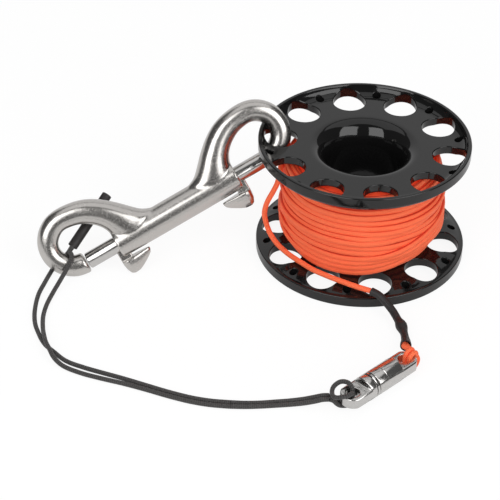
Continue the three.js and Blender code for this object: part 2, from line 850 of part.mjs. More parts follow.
// The thumb lever: a post saddled to the bolt and studded into it, on a drop-shaped pad
function thumbLever() {
  const { postLength, postThickness, padTop, padHalfWidth, padLength, padBottom } = gate;
  const middle = (postInner + postOuter) / 2;
  const post = new THREE.BoxGeometry(postLength, postThickness, padTop + overrun);
  post.translate(middle, 0, -(padTop + overrun) / 2);
  const saddle = barX(gate.radius + clearance, postInner - overrun, postOuter + overrun, snap.segments);
  const stud = bar(gate.studRadius, -padTop, gate.studSeat - clearance, snap.segments / 2);
  stud.translate(middle, 0, 0);
  const rings = padShares.map(([along, width, depth]) => {
    const ring = [];
    const reach = postOuter - padLength * along;
    for (let corner = 0; corner <= gate.padSides; corner++) {
      const turn = (Math.PI * corner) / gate.padSides;
      const fall = padTop + (padBottom - padTop) * depth * Math.sin(turn);
      ring.push(new THREE.Vector3(reach, padHalfWidth * width * Math.cos(turn), -fall));
    }
    return ring;
  });
  const pad = loft(rings);
  return geometryOf(join(cut(solidOf(post), solidOf(saddle)), solidOf(stud), solidOf(pad)));
}

// The spring between the barrel's middle wall and the bolt's shoulder, round the bolt's spigot
function gateSpring() {
  const from = snap.coreWall / 2 + clearance + spring.wire / 2;
  const to = boltShoulder - clearance - spring.wire / 2;
  const steps = spring.turns * spring.steps;
  const path = [];
  for (let step = 0; step <= steps; step++) {
    const turn = (2 * Math.PI * step) / spring.steps;
    const along = from + ((to - from) * step) / steps;
    path.push(
      new THREE.Vector3(along, spring.coilRadius * Math.cos(turn), spring.coilRadius * Math.sin(turn)),
    );
  }
  return tubeThrough(path, spring.wire / 2, spring.sides);
}

// Stands the snap on the table: its hook's bow passes through the flange's hole, and the far hook's
// lowest point rests on the table
function placeSnap(group, meshes) {
  const heading = radians(snap.heading);
  const lean = radians(snap.lean);
  const turn = radians(spool.holePhase + (360 / spool.holeCount) * spool.snapHole);
  const passAt = holeCircle - snap.passInset;
  const hole = new THREE.Vector3(
    passAt * Math.cos(turn) + snap.passAside * Math.sin(turn),
    passAt * Math.sin(turn) - snap.passAside * Math.cos(turn),
    webTop + snap.passLift,
  );
  const pose = (slope) => {
    const along = new THREE.Vector3(
      Math.cos(slope) * Math.cos(heading),
      Math.cos(slope) * Math.sin(heading),
      Math.sin(slope),
    );
    const level = new THREE.Vector3(-Math.sin(heading), Math.cos(heading), 0);
    const upright = along.clone().cross(level);
    const rise = upright.multiplyScalar(Math.cos(lean)).addScaledVector(level, Math.sin(lean));
    const back = rise.clone().cross(along);
    const matrix = new THREE.Matrix4().makeBasis(along, back, rise);
    const pass = new THREE.Vector3(hookCentreAlong + snap.passAlong, 0, snap.passRise);
    const origin = hole.clone().sub(pass.applyMatrix4(matrix));
    return matrix.setPosition(origin);
  };
  const lowest = (matrix) => {
    let low = Infinity;
    for (const mesh of meshes) {
      const position = mesh.geometry.attributes.position;
      for (let vertex = 0; vertex < position.count; vertex++) {
        const point = new THREE.Vector3().fromBufferAttribute(position, vertex);
        low = Math.min(low, point.applyMatrix4(matrix).z);
      }
    }
    return low;
  };
  let flat = 0;
  let steep = Math.PI / 3;
  for (let guess = 0; guess < 40; guess++) {
    const slope = (flat + steep) / 2;
    if (lowest(pose(slope)) > 0) flat = slope;
    else steep = slope;
  }
  const matrix = pose(flat);
  console.log("snap slope", THREE.MathUtils.radToDeg(flat).toFixed(2), "degrees");
  group.applyMatrix4(matrix);
}

const root = new THREE.Group();
const halves = spoolHalves();
const wound = woundLine();
const snapGroup = new THREE.Group();
const body = named("snap_body", snapBody(), forgedSteel);
const left = (geometry) => flip(geometry.clone());
const bolt = gateBolt();
const lever = thumbLever();
const coil = gateSpring();
const levers = [
  named("thumb_lever_right", lever, forgedSteel),
  named("thumb_lever_left", left(lever), forgedSteel),
];
snapGroup.add(
  body,
  named("gate_bolt_right", bolt, forgedSteel),
  named("gate_bolt_left", left(bolt), forgedSteel),
  ...levers,
  named("gate_spring_right", coil, springSteel),
  named("gate_spring_left", left(coil), springSteel),
);
placeSnap(snapGroup, [body, ...levers]);

const swivelGroup = new THREE.Group();
swivelGroup.add(...swivelPieces());
swivelGroup.rotation.z = radians(swivel.heading);
swivelGroup.position.set(swivel.seamX, swivel.seamY, swivel.radius);

const cordRadius = lanyard.diameter / 2;
const sides = lanyard.sides;
const blackCordOf = (name, points, steps) => named(name, cord(points, cordRadius, sides, steps), blackCord);
const solids = new THREE.Group();
solids.add(...halves, ...wound, snapGroup);
const cords = new THREE.Group();
cords.add(
  named("line_tail", cord(tailRoute, line.tailDiameter / 2, sides, 36), orangeLine),
  named("line_sleeve", lineSleeve(), shrinkSleeve),
  named("line_loop", cord(loopRoute, lineRadius, sides, 26), orangeLine),
  swivelGroup,
  blackCordOf("lanyard_hitch", hitchRoute, 40),
  blackCordOf("lanyard_lead_a", leadRouteA, 14),
  blackCordOf("lanyard_lead_b", leadRouteB, 14),
  blackCordOf("lanyard_strand_a", strandRouteA, 46),
  blackCordOf("lanyard_strand_b", strandRouteB, 52),
  named("lanyard_sleeve", cord(lanyardSleeveRoute, lanyard.sleeveRadius, sides, 6), shrinkSleeve),
);

// The origin: on the table, at the middle of the spool and the snap
root.add(solids, cords);
root.updateMatrixWorld(true);
const box = new THREE.Box3().setFromObject(solids, true);
const middle = box.getCenter(new THREE.Vector3());
solids.position.set(-middle.x, -middle.y, -box.min.z);
cords.position.copy(solids.position);
console.log("spool axis at", solids.position.toArray().map((value) => value.toFixed(3)).join(", "));
export default root;
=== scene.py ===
from math import atan2, copysign, cos, hypot, pi, radians, sin, sqrt

import bpy
from mathutils import Matrix, Vector


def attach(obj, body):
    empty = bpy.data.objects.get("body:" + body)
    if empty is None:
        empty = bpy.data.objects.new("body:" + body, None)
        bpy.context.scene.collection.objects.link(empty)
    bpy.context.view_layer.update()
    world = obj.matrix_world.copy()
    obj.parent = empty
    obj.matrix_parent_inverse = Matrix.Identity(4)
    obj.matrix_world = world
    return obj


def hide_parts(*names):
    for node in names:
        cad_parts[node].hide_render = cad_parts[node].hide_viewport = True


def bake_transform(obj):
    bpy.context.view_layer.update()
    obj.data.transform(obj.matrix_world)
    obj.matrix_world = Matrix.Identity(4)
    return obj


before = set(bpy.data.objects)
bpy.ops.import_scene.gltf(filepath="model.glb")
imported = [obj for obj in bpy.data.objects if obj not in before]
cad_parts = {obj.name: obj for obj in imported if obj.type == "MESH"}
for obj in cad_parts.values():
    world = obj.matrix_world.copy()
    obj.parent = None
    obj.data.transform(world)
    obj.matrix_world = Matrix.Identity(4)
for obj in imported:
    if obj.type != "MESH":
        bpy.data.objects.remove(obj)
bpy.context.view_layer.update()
mm = 0.001
weld = 0.002  # mm, corners nearer than this are one
overrun = 1  # mm that a cutter passes what it cuts
spoolPlace = Vector((46.2971671, 0, 0))  # mm, where the spool stands in the shared frame
print("frame loaded:", len(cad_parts), "nodes")


# Camera, at the photograph's angle
view = {
    "place": (-1.190, -722.390, 524.974),  # mm
    "right": (0.9998129, 0.0114310, 0.0156057),
    "up": (-0.0193444, 0.5908106, 0.8065784),
    "lens": 147.274, "sensor": 36, "nearest": 0.02,
}


def setCamera():
    right, up = Vector(view["right"]), Vector(view["up"])
    turn = Matrix((right, up, right.cross(up))).transposed()
    bpy.ops.object.camera_add(location=Vector(view["place"]) * mm, rotation=turn.to_euler())
    made = bpy.context.object
    made.data.lens = view["lens"]
    made.data.sensor_width = view["sensor"]
    made.data.clip_start = view["nearest"]
    bpy.context.scene.camera = made


setCamera()
print("camera set")


# Finishes. A wire is a socket that can stand in a sum; a finish is one material.
cloudReach = (0.3, 0.7)  # where most values of a cloud lie


class Wire:
    def __init__(self, finish, socket):
        self.finish = finish
        self.socket = socket

    def maths(self, operation, *terms):
        settings = {"operation": operation}
        return self.finish.node("Math", settings, dict(enumerate(terms)))

    def __add__(self, other):
        return self.maths("ADD", self, other)

    def __sub__(self, other):
        return self.maths("SUBTRACT", self, other)

    def __mul__(self, other):
        return self.maths("MULTIPLY", self, other)

    __rmul__ = __mul__

    def __pow__(self, other):
        return self.maths("POWER", self, other)

    def sine(self):
        return self.maths("SINE", self)

    def size(self):
        return self.maths("ABSOLUTE", self)

    def higher(self, other):
        return self.maths("MAXIMUM", self, other)


class Finish:
    def __init__(self, name):
        self.material = bpy.data.materials.new(name)
        self.material.use_nodes = True
        self.tree = self.material.node_tree
        self.tree.nodes.clear()

    def node(self, kind, settings, sockets, output=0):
        made = self.tree.nodes.new("ShaderNode" + kind)
        for key, value in settings.items():
            setattr(made, key, value)
        for key, value in sockets.items():
            if isinstance(value, Wire):
                self.tree.links.new(value.socket, made.inputs[key])
            else:
                made.inputs[key].default_value = value
        return Wire(self, made.outputs[output]) if made.outputs else made

    def cloud(self, scale, detail=3):
        spot = self.node("TexCoord", {}, {}, "Object")
        return self.node("TexNoise", {}, {"Vector": spot, "Scale": scale, "Detail": detail})

    # A cord's UV runs along it in millimetres, on X, and once round it, on Y
    def uv(self, axis):
        spot = self.node("UVMap", {"uv_map": "UVMap"}, {})
        return self.node("SeparateXYZ", {}, {"Vector": spot}, axis)

    def blend(self, share, first, second):
        settings = {"data_type": "RGBA"}
        sockets = {0: share, 6: first, 7: second}
        return self.node("Mix", settings, sockets, 2)

    def between(self, cloud, low, high):
        start, end = cloudReach
        return self.node("MapRange", {}, {"Value": cloud, 1: start, 2: end, 3: low, 4: high})

    def bump(self, height, distance):
        return self.node("Bump", {}, {"Height": height, "Distance": distance, "Strength": 1})

    def surface(self, **sockets):
        named = {key.replace("_", " "): value for key, value in sockets.items()}
        shader = self.node("BsdfPrincipled", {}, named)
        self.node("OutputMaterial", {}, {"Surface": shader})
        return self.material


def colour(red, green, blue):
    return (red, green, blue, 1)


def makeMoulding():
    finish = Finish("moulding")
    flow = finish.cloud(28, 2)
    grain = finish.cloud(900, 2)
    base = finish.blend(flow, colour(0.0052, 0.0051, 0.0052), colour(0.0085, 0.0084, 0.0085))
    roughness = finish.between(flow, 0.06, 0.1)
    normal = finish.bump(grain + 2 * flow, 0.000008)
    return finish.surface(Base_Color=base, Roughness=roughness, Specular_IOR_Level=0.5, Normal=normal)


def braid(finish, strands, pitch):
    along, around = finish.uv("X") * (2 * pi / pitch), finish.uv("Y") * (2 * pi * strands)
    return (along + around).sine() * (along - around).sine() * 0.5 + 0.5


# Where turns lie side by side, painted shade darkens their line at its upper and lower edge, for the creases
# between them. The braid gets painted shade where its strands dip under. The dye is a fluorescent one, and
# its brightness is painted as a faint glow, an emission that no lamp gives.
def makeLine(name, shadedCreases):
    finish = Finish(name)
    weave = braid(finish, 4, 1.5)
    tint = finish.cloud(160, 3)
    lit = finish.blend(tint, colour(1.0, 0.165, 0.06), colour(1.0, 0.215, 0.09))
    # Painted shade: the braid is darker where its strands dip under, and lit where they stand up
    base = finish.blend(weave ** 0.4, colour(0.96, 0.125, 0.045), lit)
    if shadedCreases:
        # Painted shade for the creases between turns: the line's upper and lower edges turn dark red
        edge = (finish.uv("Y") * (2 * pi) + pi / 2).sine().size() ** 6
        base = finish.blend(edge, base, colour(0.55, 0.02, 0.007))
    normal = finish.bump(weave + 0.4 * finish.cloud(2600, 2), 0.00005)
    return finish.surface(
        Base_Color=base, Roughness=0.62, Specular_IOR_Level=0.3, Sheen_Weight=0.25,
        Sheen_Roughness=0.4, Sheen_Tint=colour(1, 0.5, 0.35), Normal=normal,
        # Painted glow: a faint orange emission stands in for the fluorescent dye's extra brightness
        Emission_Color=colour(1, 0.1, 0.035), Emission_Strength=0.1,
    )


def makeCord():
    finish = Finish("cord")
    weave = braid(finish, 5, 1.7)
    # Painted shade: the braid is darker where its strands dip under and lighter where they stand up
    base = finish.blend(weave, colour(0.022, 0.02, 0.02), colour(0.085, 0.08, 0.078))
    normal = finish.bump(weave + 0.3 * finish.cloud(2600, 2), 0.00016)
    return finish.surface(
        Base_Color=base, Roughness=0.6, Specular_IOR_Level=0.4, Sheen_Weight=0.15, Normal=normal
    )


def makeSleeve():
    finish = Finish("shrinkSleeve")
    crease = finish.cloud(420, 4)
    base = finish.blend(crease, colour(0.013, 0.012, 0.012), colour(0.03, 0.025, 0.025))
    roughness = finish.between(crease, 0.42, 0.6)
    normal = finish.bump(crease, 0.00018)
    return finish.surface(Base_Color=base, Roughness=roughness, Specular_IOR_Level=0.45, Normal=normal)


def makeCastSteel():
    finish = Finish("castSteel")
    pits = finish.cloud(1500, 3)
    swell = finish.cloud(120, 3)
    base = finish.blend(pits, colour(0.555, 0.532, 0.508), colour(0.62, 0.598, 0.575))
    roughness = finish.between(pits, 0.21, 0.28)
    normal = finish.bump(pits + 1.5 * swell, 0.000016)
    return finish.surface(Base_Color=base, Metallic=1.0, Roughness=roughness, Normal=normal)


def makePolishedSteel():
    finish = Finish("polishedSteel")
    haze = finish.cloud(300, 3)
    base = finish.blend(haze, colour(0.56, 0.545, 0.53), colour(0.66, 0.65, 0.635))
    roughness = finish.between(haze, 0.15, 0.21)
    normal = finish.bump(haze, 0.00001)
    return finish.surface(Base_Color=base, Metallic=1.0, Roughness=roughness, Normal=normal)


def makeSpringSteel():
    finish = Finish("springSteel")
    drawn = finish.cloud(2000, 2)
    base = finish.blend(drawn, colour(0.42, 0.42, 0.42), colour(0.56, 0.56, 0.56))
    return finish.surface(Base_Color=base, Metallic=1.0, Roughness=finish.between(drawn, 0.25, 0.4))


finishes = {
    "moulding": makeMoulding(),
    "line": makeLine("line", False),
    "wound_line": makeLine("woundLine", True),
    "cord": makeCord(),
    "shrink_sleeve": makeSleeve(),
    "cast_steel": makeCastSteel(),
    "polished_steel": makePolishedSteel(),
    "spring_steel": makeSpringSteel(),
}
print("finishes made:", len(finishes))


# Handling pieces
def choose(*pieces):
    bpy.ops.object.select_all(action="DESELECT")
    for piece in pieces:
        piece.select_set(True)
        bpy.context.view_layer.objects.active = piece


def editing(piece, everything=False):
    choose(piece)
    bpy.ops.object.mode_set(mode="EDIT")
    bpy.ops.mesh.select_all(action="SELECT" if everything else "DESELECT")


def done():
    bpy.ops.object.mode_set(mode="OBJECT")


def shift(x, y=0, z=0):
    return Matrix.Translation(Vector((x, y, z)) * mm)


def applyPlace(piece, matrix=None):
    if matrix is not None:
        piece.matrix_world = matrix @ piece.matrix_world
    choose(piece)
    bpy.ops.object.transform_apply(location=True, rotation=True, scale=True)
    return piece


def applyModifier(piece, kind, **settings):
    choose(piece)
    modifier = piece.modifiers.new(kind.lower(), kind)
    for key, value in settings.items():
        setattr(modifier, key, value)
    bpy.ops.object.modifier_apply(modifier=modifier.name)


def carve(piece, cutter, operation="DIFFERENCE"):
    applyModifier(piece, "BOOLEAN", operation=operation, solver="EXACT", object=cutter)
    bpy.data.objects.remove(cutter)


def joined(pieces):
    choose(*pieces)
    bpy.ops.object.join()
    return bpy.context.object


def closeUp(piece):
    editing(piece, True)
    bpy.ops.mesh.remove_doubles(threshold=weld * mm)
    bpy.ops.mesh.normals_make_consistent(inside=False)
    done()


def shade(piece, angle):
    choose(piece)
    bpy.ops.object.shade_smooth_by_angle(angle=radians(angle))


def placeAndShade(piece, matrix, angle=32):
    applyPlace(piece, matrix)
    shade(piece, angle)


def settle(piece, name, slot, stands=(), body=None, finish=None):
    piece.name = name
    piece.data.name = name
    piece.data.materials.clear()
    piece.data.materials.append(finishes[finish or slot])
    if stands:
        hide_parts(*stands)
    if body:
        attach(piece, body)
    return piece


# A profile is drawn as a chain of vertices, and spun about an axis
def spun(points, steps, axis=(0, 0, 1)):
    choose()
    bpy.ops.mesh.primitive_plane_add(size=mm, location=(0, 0, 0))
    piece = bpy.context.object
    bpy.ops.object.mode_set(mode="EDIT")
    bpy.ops.mesh.select_all(action="SELECT")
    bpy.ops.mesh.merge(type="CENTER")
    bpy.ops.mesh.select_all(action="SELECT")
    places = [Vector(point) * mm for point in points]
    bpy.ops.transform.translate(value=places[0])
    for before, after in zip(places, places[1:]):
        bpy.ops.mesh.extrude_vertices_move(TRANSFORM_OT_translate={"value": after - before})
    bpy.ops.mesh.select_all(action="SELECT")
    bpy.ops.mesh.spin(steps=steps, angle=2 * pi, center=(0, 0, 0), axis=axis)
    done()
    closeUp(piece)
    return piece


def drum(radius, bottom, top, vertices):
    choose()
    middle = (0, 0, (top + bottom) / 2 * mm)
    bpy.ops.mesh.primitive_cylinder_add(
        vertices=vertices, radius=radius * mm, depth=(top - bottom) * mm, location=middle
    )
    return applyPlace(bpy.context.object)


# The same along X
def drumX(radius, start, end, vertices):
    return applyPlace(drum(radius, start, end, vertices), Matrix.Rotation(pi / 2, 4, "Y"))


def block(low, high):
    low, high = Vector(low), Vector(high)
    choose()
    bpy.ops.mesh.primitive_cube_add(size=mm, location=(low + high) / 2 * mm)
    piece = bpy.context.object
    piece.scale = high - low
    return applyPlace(piece)


# Rounds the edges that turn by more than the angle and pass the test, where there is one
def roundEdges(piece, width, angle=30, test=None):
    editing(piece)
    bpy.ops.mesh.select_mode(type="EDGE")
    bpy.ops.mesh.edges_select_sharp(sharpness=radians(angle))
    done()
    for edge in piece.data.edges:
        if test and edge.select:
            edge.select = all(test(piece.data.vertices[index].co / mm) for index in edge.vertices)
    choose(piece)
    bpy.ops.object.mode_set(mode="EDIT")
    bpy.ops.mesh.bevel(offset=width * mm, segments=3, profile=0.5, affect="EDGES")
    done()


# One skin over all parts of a casting, with its edges eased
def soften(piece, voxel, passes):
    applyModifier(piece, "REMESH", mode="VOXEL", voxel_size=voxel * mm)
    applyModifier(piece, "SMOOTH", factor=0.5, iterations=passes)


# Even steps from zero to the given degrees
def sweep(steps, degrees=90):
    return [radians(degrees) * step / steps for step in range(steps + 1)]


# Cords: a smooth route through chosen points, and a skin round it
def smoothRoute(points, parts=8):
    points = [Vector(point) for point in points]
    points = [2 * points[0] - points[1], *points, 2 * points[-1] - points[-2]]
    route = []
    for a, b, c, d in zip(points, points[1:], points[2:], points[3:]):
        before, span, after = (sqrt((q - p).length) for p, q in ((a, b), (b, c), (c, d)))
        leave = ((b - a) / before - (c - a) / (before + span) + (c - b) / span) * span
        reach = ((c - b) / span - (d - b) / (span + after) + (d - c) / after) * span
        for part in range(parts):
            t = part / parts
            square, cube = t * t, t * t * t
            route.append(
                (2 * cube - 3 * square + 1) * b + (cube - 2 * square + t) * leave
                + (3 * square - 2 * cube) * c + (cube - square) * reach
            )
    route.append(points[-2])
    return route


def lengthOf(route):
    return sum((b - a).length for a, b in zip(route, route[1:]))


def skin(route, radius, sides, startAt=0.0, hollow=False, flat=None):
    radii = radius if isinstance(radius, list) else [radius] * len(route)
    vertices, faces, corners = [], [], []
    marks, along, normal = [], startAt, None
    for index, point in enumerate(route):
        before, after = route[max(index - 1, 0)], route[min(index + 1, len(route) - 1)]
        heading = (after - before).normalized()
        if normal is None:
            away = Vector((0, 0, 1)) if abs(heading.z) < 0.9 else Vector((1, 0, 0))
            normal = away.cross(heading)
        if flat:
            normal = Vector((0, 0, 1))
        normal = (normal - heading * normal.dot(heading)).normalized()
        side = heading.cross(normal)
        if index:
            along += (point - route[index - 1]).length
        marks.append(along)
        for corner in range(sides):
            turn = 2 * pi * corner / sides
            if flat:
                tall, deep = (copysign(abs(part) ** flat["power"], part) for part in (cos(turn), sin(turn)))
                spoke = normal * tall * flat["stretch"] + side * deep
            else:
                spoke = normal * cos(turn) + side * sin(turn)
            vertices.append((point + spoke * radii[index]) * mm)
    for ring in range(len(route) - 1):
        for corner in range(sides):
            after = (corner + 1) % sides
            a, b = ring * sides + corner, ring * sides + after
            faces.append((a, b, b + sides, a + sides))
            low, high = corner / sides, (corner + 1) / sides
            start, end = marks[ring], marks[ring + 1]
            corners += [(start, low), (start, high), (end, high), (end, low)]
    if not hollow:
        last = (len(route) - 1) * sides
        faces.append(tuple(reversed(range(sides))))
        faces.append(tuple(range(last, last + sides)))
        corners += [(marks[0], 0)] * sides + [(marks[-1], 0)] * sides
    mesh = bpy.data.meshes.new("skin")
    mesh.from_pydata(vertices, [], faces)
    layer = mesh.uv_layers.new(name="UVMap")
    for corner, place in zip(layer.data, corners):
        corner.uv = place
    piece = bpy.data.objects.new("skin", mesh)
    bpy.context.scene.collection.objects.link(piece)
    for face in mesh.polygons:
        face.use_smooth = len(face.vertices) == 4
    return piece


def placed(points):
    return [Vector(point) + spoolPlace for point in points]


def metres(route):
    return [tuple(point * mm) for point in route]


# The free end of the line
freeLine = {
    "diameter": 2.3, "sides": 16,
    "route": [
        (-35.1, -0.4, 40.6), (-35.2, -2.4, 40.4), (-35.6, -5.2, 39.2), (-36.6, -7.9, 36.6),
        (-38.3, -9.2, 33.2), (-40.1, -9.2, 29.2), (-41.2, -8.4, 25), (-41.6, -7.6, 20.6),
        (-40.8, -7.6, 16), (-38.8, -9.4, 11.4), (-35.8, -13, 8.9), (-31.4, -18.8, 8.2),
        (-26.2, -24.6, 8.2), (-20.8, -30, 8.2), (-15.2, -34, 8.2), (-9.4, -37.6, 8.2), (-2.6, -41.2, 8.1),
        (3, -43.6, 7.9), (4.6, -44.4, 7.7),
    ],
}
# Its loop is wound twice round the end of the swivel's eye
lineLoop = {
    "diameter": 2.0, "sides": 14, "parts": 6,
    "route": [
        (15.7, -74.5, 5.2), (15.5, -76.2, 5.4), (15.6, -78.2, 6.2), (18.56, -81.88, 7.6),
        (18, -82.73, 8.6), (16.97, -83.97, 8.85), (15.88, -85.14, 8), (15.49, -85.6, 5.2),
        (15.95, -85.21, 2.5), (17.5, -84.36, 1.65), (19.2, -83.37, 2.6), (19.98, -83.3, 5.2),
        (19.77, -84.08, 7.9), (18.63, -85.49, 8.8), (17.47, -86.73, 8), (17.04, -87.15, 5.2),
        (17.5, -86.76, 2.5), (18.78, -85.63, 1.65), (20.26, -84.01, 2), (20.9, -81.96, 3.6),
        (18.2, -79.4, 5.2), (17.3, -77.2, 5.2), (16.6, -74.5, 4.6),
    ],
}
lineSleeve = {
    "route": [
        (3.4, -43.8, 7.9), (6.4, -45.6, 7.3), (9.4, -48.4, 5.7), (12.2, -52, 4), (14.2, -56.4, 2.9),
        (15.5, -60.6, 2.8), (16.3, -65.4, 2.9), (16.6, -71, 3.7), (16.3, -76.8, 5.6),
    ],
    "radius": 1.65, "knotRadius": 2.45, "knotShare": 0.62, "knotWidth": 0.13, "mouthRadius": 2.35,
    "wall": 0.35, "flareShare": 0.8, "sides": 20, "parts": 6, "shadeAngle": 50,
}


def smoothStep(value, low, high):
    share = min(max((value - low) / (high - low), 0), 1)
    return share * share * (3 - 2 * share)


# A sleeve is an open skin with a wall inside it
def drawSleeve(path, radius, sleeve, name, node, body):
    piece = skin(path, radius, sleeve["sides"], hollow=True)
    applyModifier(piece, "SOLIDIFY", thickness=sleeve["wall"] * mm, offset=-1)
    settle(piece, name, "shrink_sleeve", (node,), body)
    shade(piece, sleeve["shadeAngle"])
    return piece


def makeFreeLine():
    route = smoothRoute(placed(freeLine["route"]))
    tail = skin(route, freeLine["diameter"] / 2, freeLine["sides"])
    settle(tail, "freeLine", "line", ("line_tail",), "spool")

    path = smoothRoute(placed(lineSleeve["route"]), lineSleeve["parts"])
    plain, radii = lineSleeve["radius"], []
    for index in range(len(path)):
        share = index / (len(path) - 1)
        bulge = smoothStep(1 - abs(share - lineSleeve["knotShare"]) / lineSleeve["knotWidth"], 0, 1)
        flare = smoothStep(share, lineSleeve["flareShare"], 1)
        swell = (lineSleeve["knotRadius"] - plain) * bulge + (lineSleeve["mouthRadius"] - plain) * flare
        radii.append(plain + swell)
    sleeve = drawSleeve(path, radii, lineSleeve, "knotSleeve", "line_sleeve", "spool")

    loopRoute = smoothRoute(placed(lineLoop["route"]), lineLoop["parts"])
    loop = skin(loopRoute, lineLoop["diameter"] / 2, lineLoop["sides"])
    settle(loop, "lineLoop", "line", ("line_loop",), "spool")
    metres(route)[0]
    lengthOf(route) * mm
    metres(route)


# The doubled lanyard
lanyard = {
    "diameter": 1.9, "sides": 14, "parts": 6, "hitchParts": 5,
    "leadBlend": -14,  # the point of a lead's route from which the eye turns it
    "strandBlend": ((-0.0438, -0.09, 0.001), (-0.0768, -0.021, 0.012)),  # metres
    "hitch": [
        (-15.2, -107.58, 4.6), (-13.7, -107.58, 4), (-12.3, -107.58, 2.5), (-11, -107.58, 1.65),
        (-8.8, -107.58, 1.6), (-7.3, -107.58, 2.2), (-6.4, -107.58, 4.2), (-6.2, -107.58, 6.3),
        (-6.5, -106.95, 8.3), (-7.9, -104.9, 9), (-10.6, -104, 8.8), (-12.9, -104.9, 7.9),
        (-14.1, -106.9, 7.3), (-14.1, -110.6, 7.2), (-12.9, -112.6, 7.8), (-10.6, -113.5, 8.8),
        (-7.9, -112.6, 9), (-6.5, -110.6, 8.3), (-6.2, -109.98, 6.3), (-6.4, -109.98, 4.2),
        (-7.3, -109.98, 2.2), (-8.8, -109.98, 1.6), (-11, -109.98, 1.65), (-12.3, -109.98, 2.5),
        (-13.7, -109.98, 4), (-15.2, -109.98, 4.6),
    ],
    "leads": {
        "A": [
            (-15.3, -107.6, 4.62), (-17.8, -107.6, 4.5), (-20.7, -107.6, 3.7), (-25.2, -107.5, 2.4),
            (-30.6, -107.5, 1.4), (-36.4, -108, 1.1), (-42.4, -108.8, 1.1), (-48.3, -109.1, 1.1),
            (-54.2, -108.9, 1.1),
        ],
        "B": [
            (-15.3, -110, 4.62), (-17.8, -110, 4.4), (-20.7, -110, 3.5), (-25.2, -109.9, 2.3),
            (-30.6, -109.8, 1.4), (-36.4, -110.2, 1.1), (-42.4, -110.9, 1.1), (-48.3, -111.3, 1.1),
            (-54.2, -111.3, 1.1),
        ],
    },
    "strands": {
        "A": [
            (-54.2, -108.9, 1.1), (-61.6, -108.2, 1.1), (-69.1, -106.6, 1.1), (-78.3, -103.4, 1.1),
            (-87.6, -99.5, 1.1), (-97, -95.5, 1.1), (-104.5, -92.6, 1.1), (-113, -89.2, 1.1),
            (-120.7, -85.2, 1.1), (-126.4, -79.2, 1.1), (-129.6, -75.6, 1.1), (-131.7, -71.9, 1.1),
            (-133.4, -67.7, 1.1), (-135.2, -62.3, 1.1), (-136.2, -56.1, 1.1), (-136.4, -48.6, 1.1),
            (-135.8, -41, 1.1), (-134, -33.2, 1.1), (-132.6, -27.6, 1.1), (-131, -22.4, 1.2),
            (-128.8, -19.8, 2.5), (-126.4, -19.1, 4.9), (-124.9, -19.9, 7.4), (-124.3, -20.9, 9.1),
            (-123.5, -20.6, 10.4), (-122.2, -19.4, 12),
        ],
        "B": [
            (-54.2, -111.3, 1.1), (-61.6, -110.6, 1.1), (-69.1, -109, 1.1), (-78.2, -105.9, 1.1),
            (-87.5, -102.1, 1.1), (-96.8, -98.6, 1.1), (-106.1, -95.6, 1.1), (-114.6, -92.4, 1.1),
            (-121.8, -88.4, 1.3), (-125.6, -84.6, 2.3), (-127.7, -80.6, 3.4), (-129.5, -76.3, 3.4),
            (-130.7, -71.6, 3.1), (-131.8, -65.4, 2.3), (-132.5, -56.4, 1.4), (-131.8, -48.6, 1.2),
            (-129.9, -41, 1.6), (-127.4, -35, 3.4), (-124.7, -31.8, 7.2), (-123, -29.8, 10.1),
            (-122.8, -27, 11.1), (-123.9, -23.8, 10.8), (-122.9, -22.4, 11.8), (-122, -20.6, 12.8),
        ],
    },
}
lanyardSleeve = {
    "radius": 2.15, "wall": 0.45, "ends": [(-122.9, -21.2, 11.4), (-109.2, -2.4, 25.3)], "steps": 12,
    "sides": 20, "shadeAngle": 50, "fillShares": (0.05, 0.3, 0.6, 0.93), "fillRadiusShare": 0.78,
}


def makeLanyard():
    radius, sides = lanyard["diameter"] / 2, lanyard["sides"]
    hitch = skin(smoothRoute(placed(lanyard["hitch"]), lanyard["hitchParts"]), radius, sides)
    settle(hitch, "lanyardHitch", "cord", ("lanyard_hitch",), "lanyard_eye")

    start, end = placed(lanyardSleeve["ends"])
    path = [start.lerp(end, step / lanyardSleeve["steps"]) for step in range(lanyardSleeve["steps"] + 1)]
    wide = lanyardSleeve["radius"]
    sleeve = drawSleeve(path, wide, lanyardSleeve, "lanyardSleeve", "lanyard_sleeve", "snap")
    inside = [start.lerp(end, share) for share in lanyardSleeve["fillShares"]]
    filling = skin(inside, wide * lanyardSleeve["fillRadiusShare"], sides)
    settle(filling, "lanyardEnds", "cord", (), "snap")

    for mark, node in (("A", "a"), ("B", "b")):
        leadRoute = smoothRoute(placed(lanyard["leads"][mark]), lanyard["parts"])
        lead = skin(leadRoute, radius, sides)
        settle(lead, "lanyardLead" + mark, "cord", ("lanyard_lead_" + node,))
        path = metres(leadRoute)
        lengthOf(leadRoute) * mm
        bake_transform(lead)

        strandRoute = smoothRoute(placed(lanyard["strands"][mark]), lanyard["parts"])
        strand = skin(strandRoute, radius, sides, startAt=lengthOf(leadRoute))
        settle(strand, "lanyardStrand" + mark, "cord", ("lanyard_strand_" + node,))
        path = metres(strandRoute)
        lengthOf(strandRoute) * mm
        start, end = lanyard["strandBlend"]
        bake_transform(strand)


makeFreeLine()
makeLanyard()
print("cords laid")


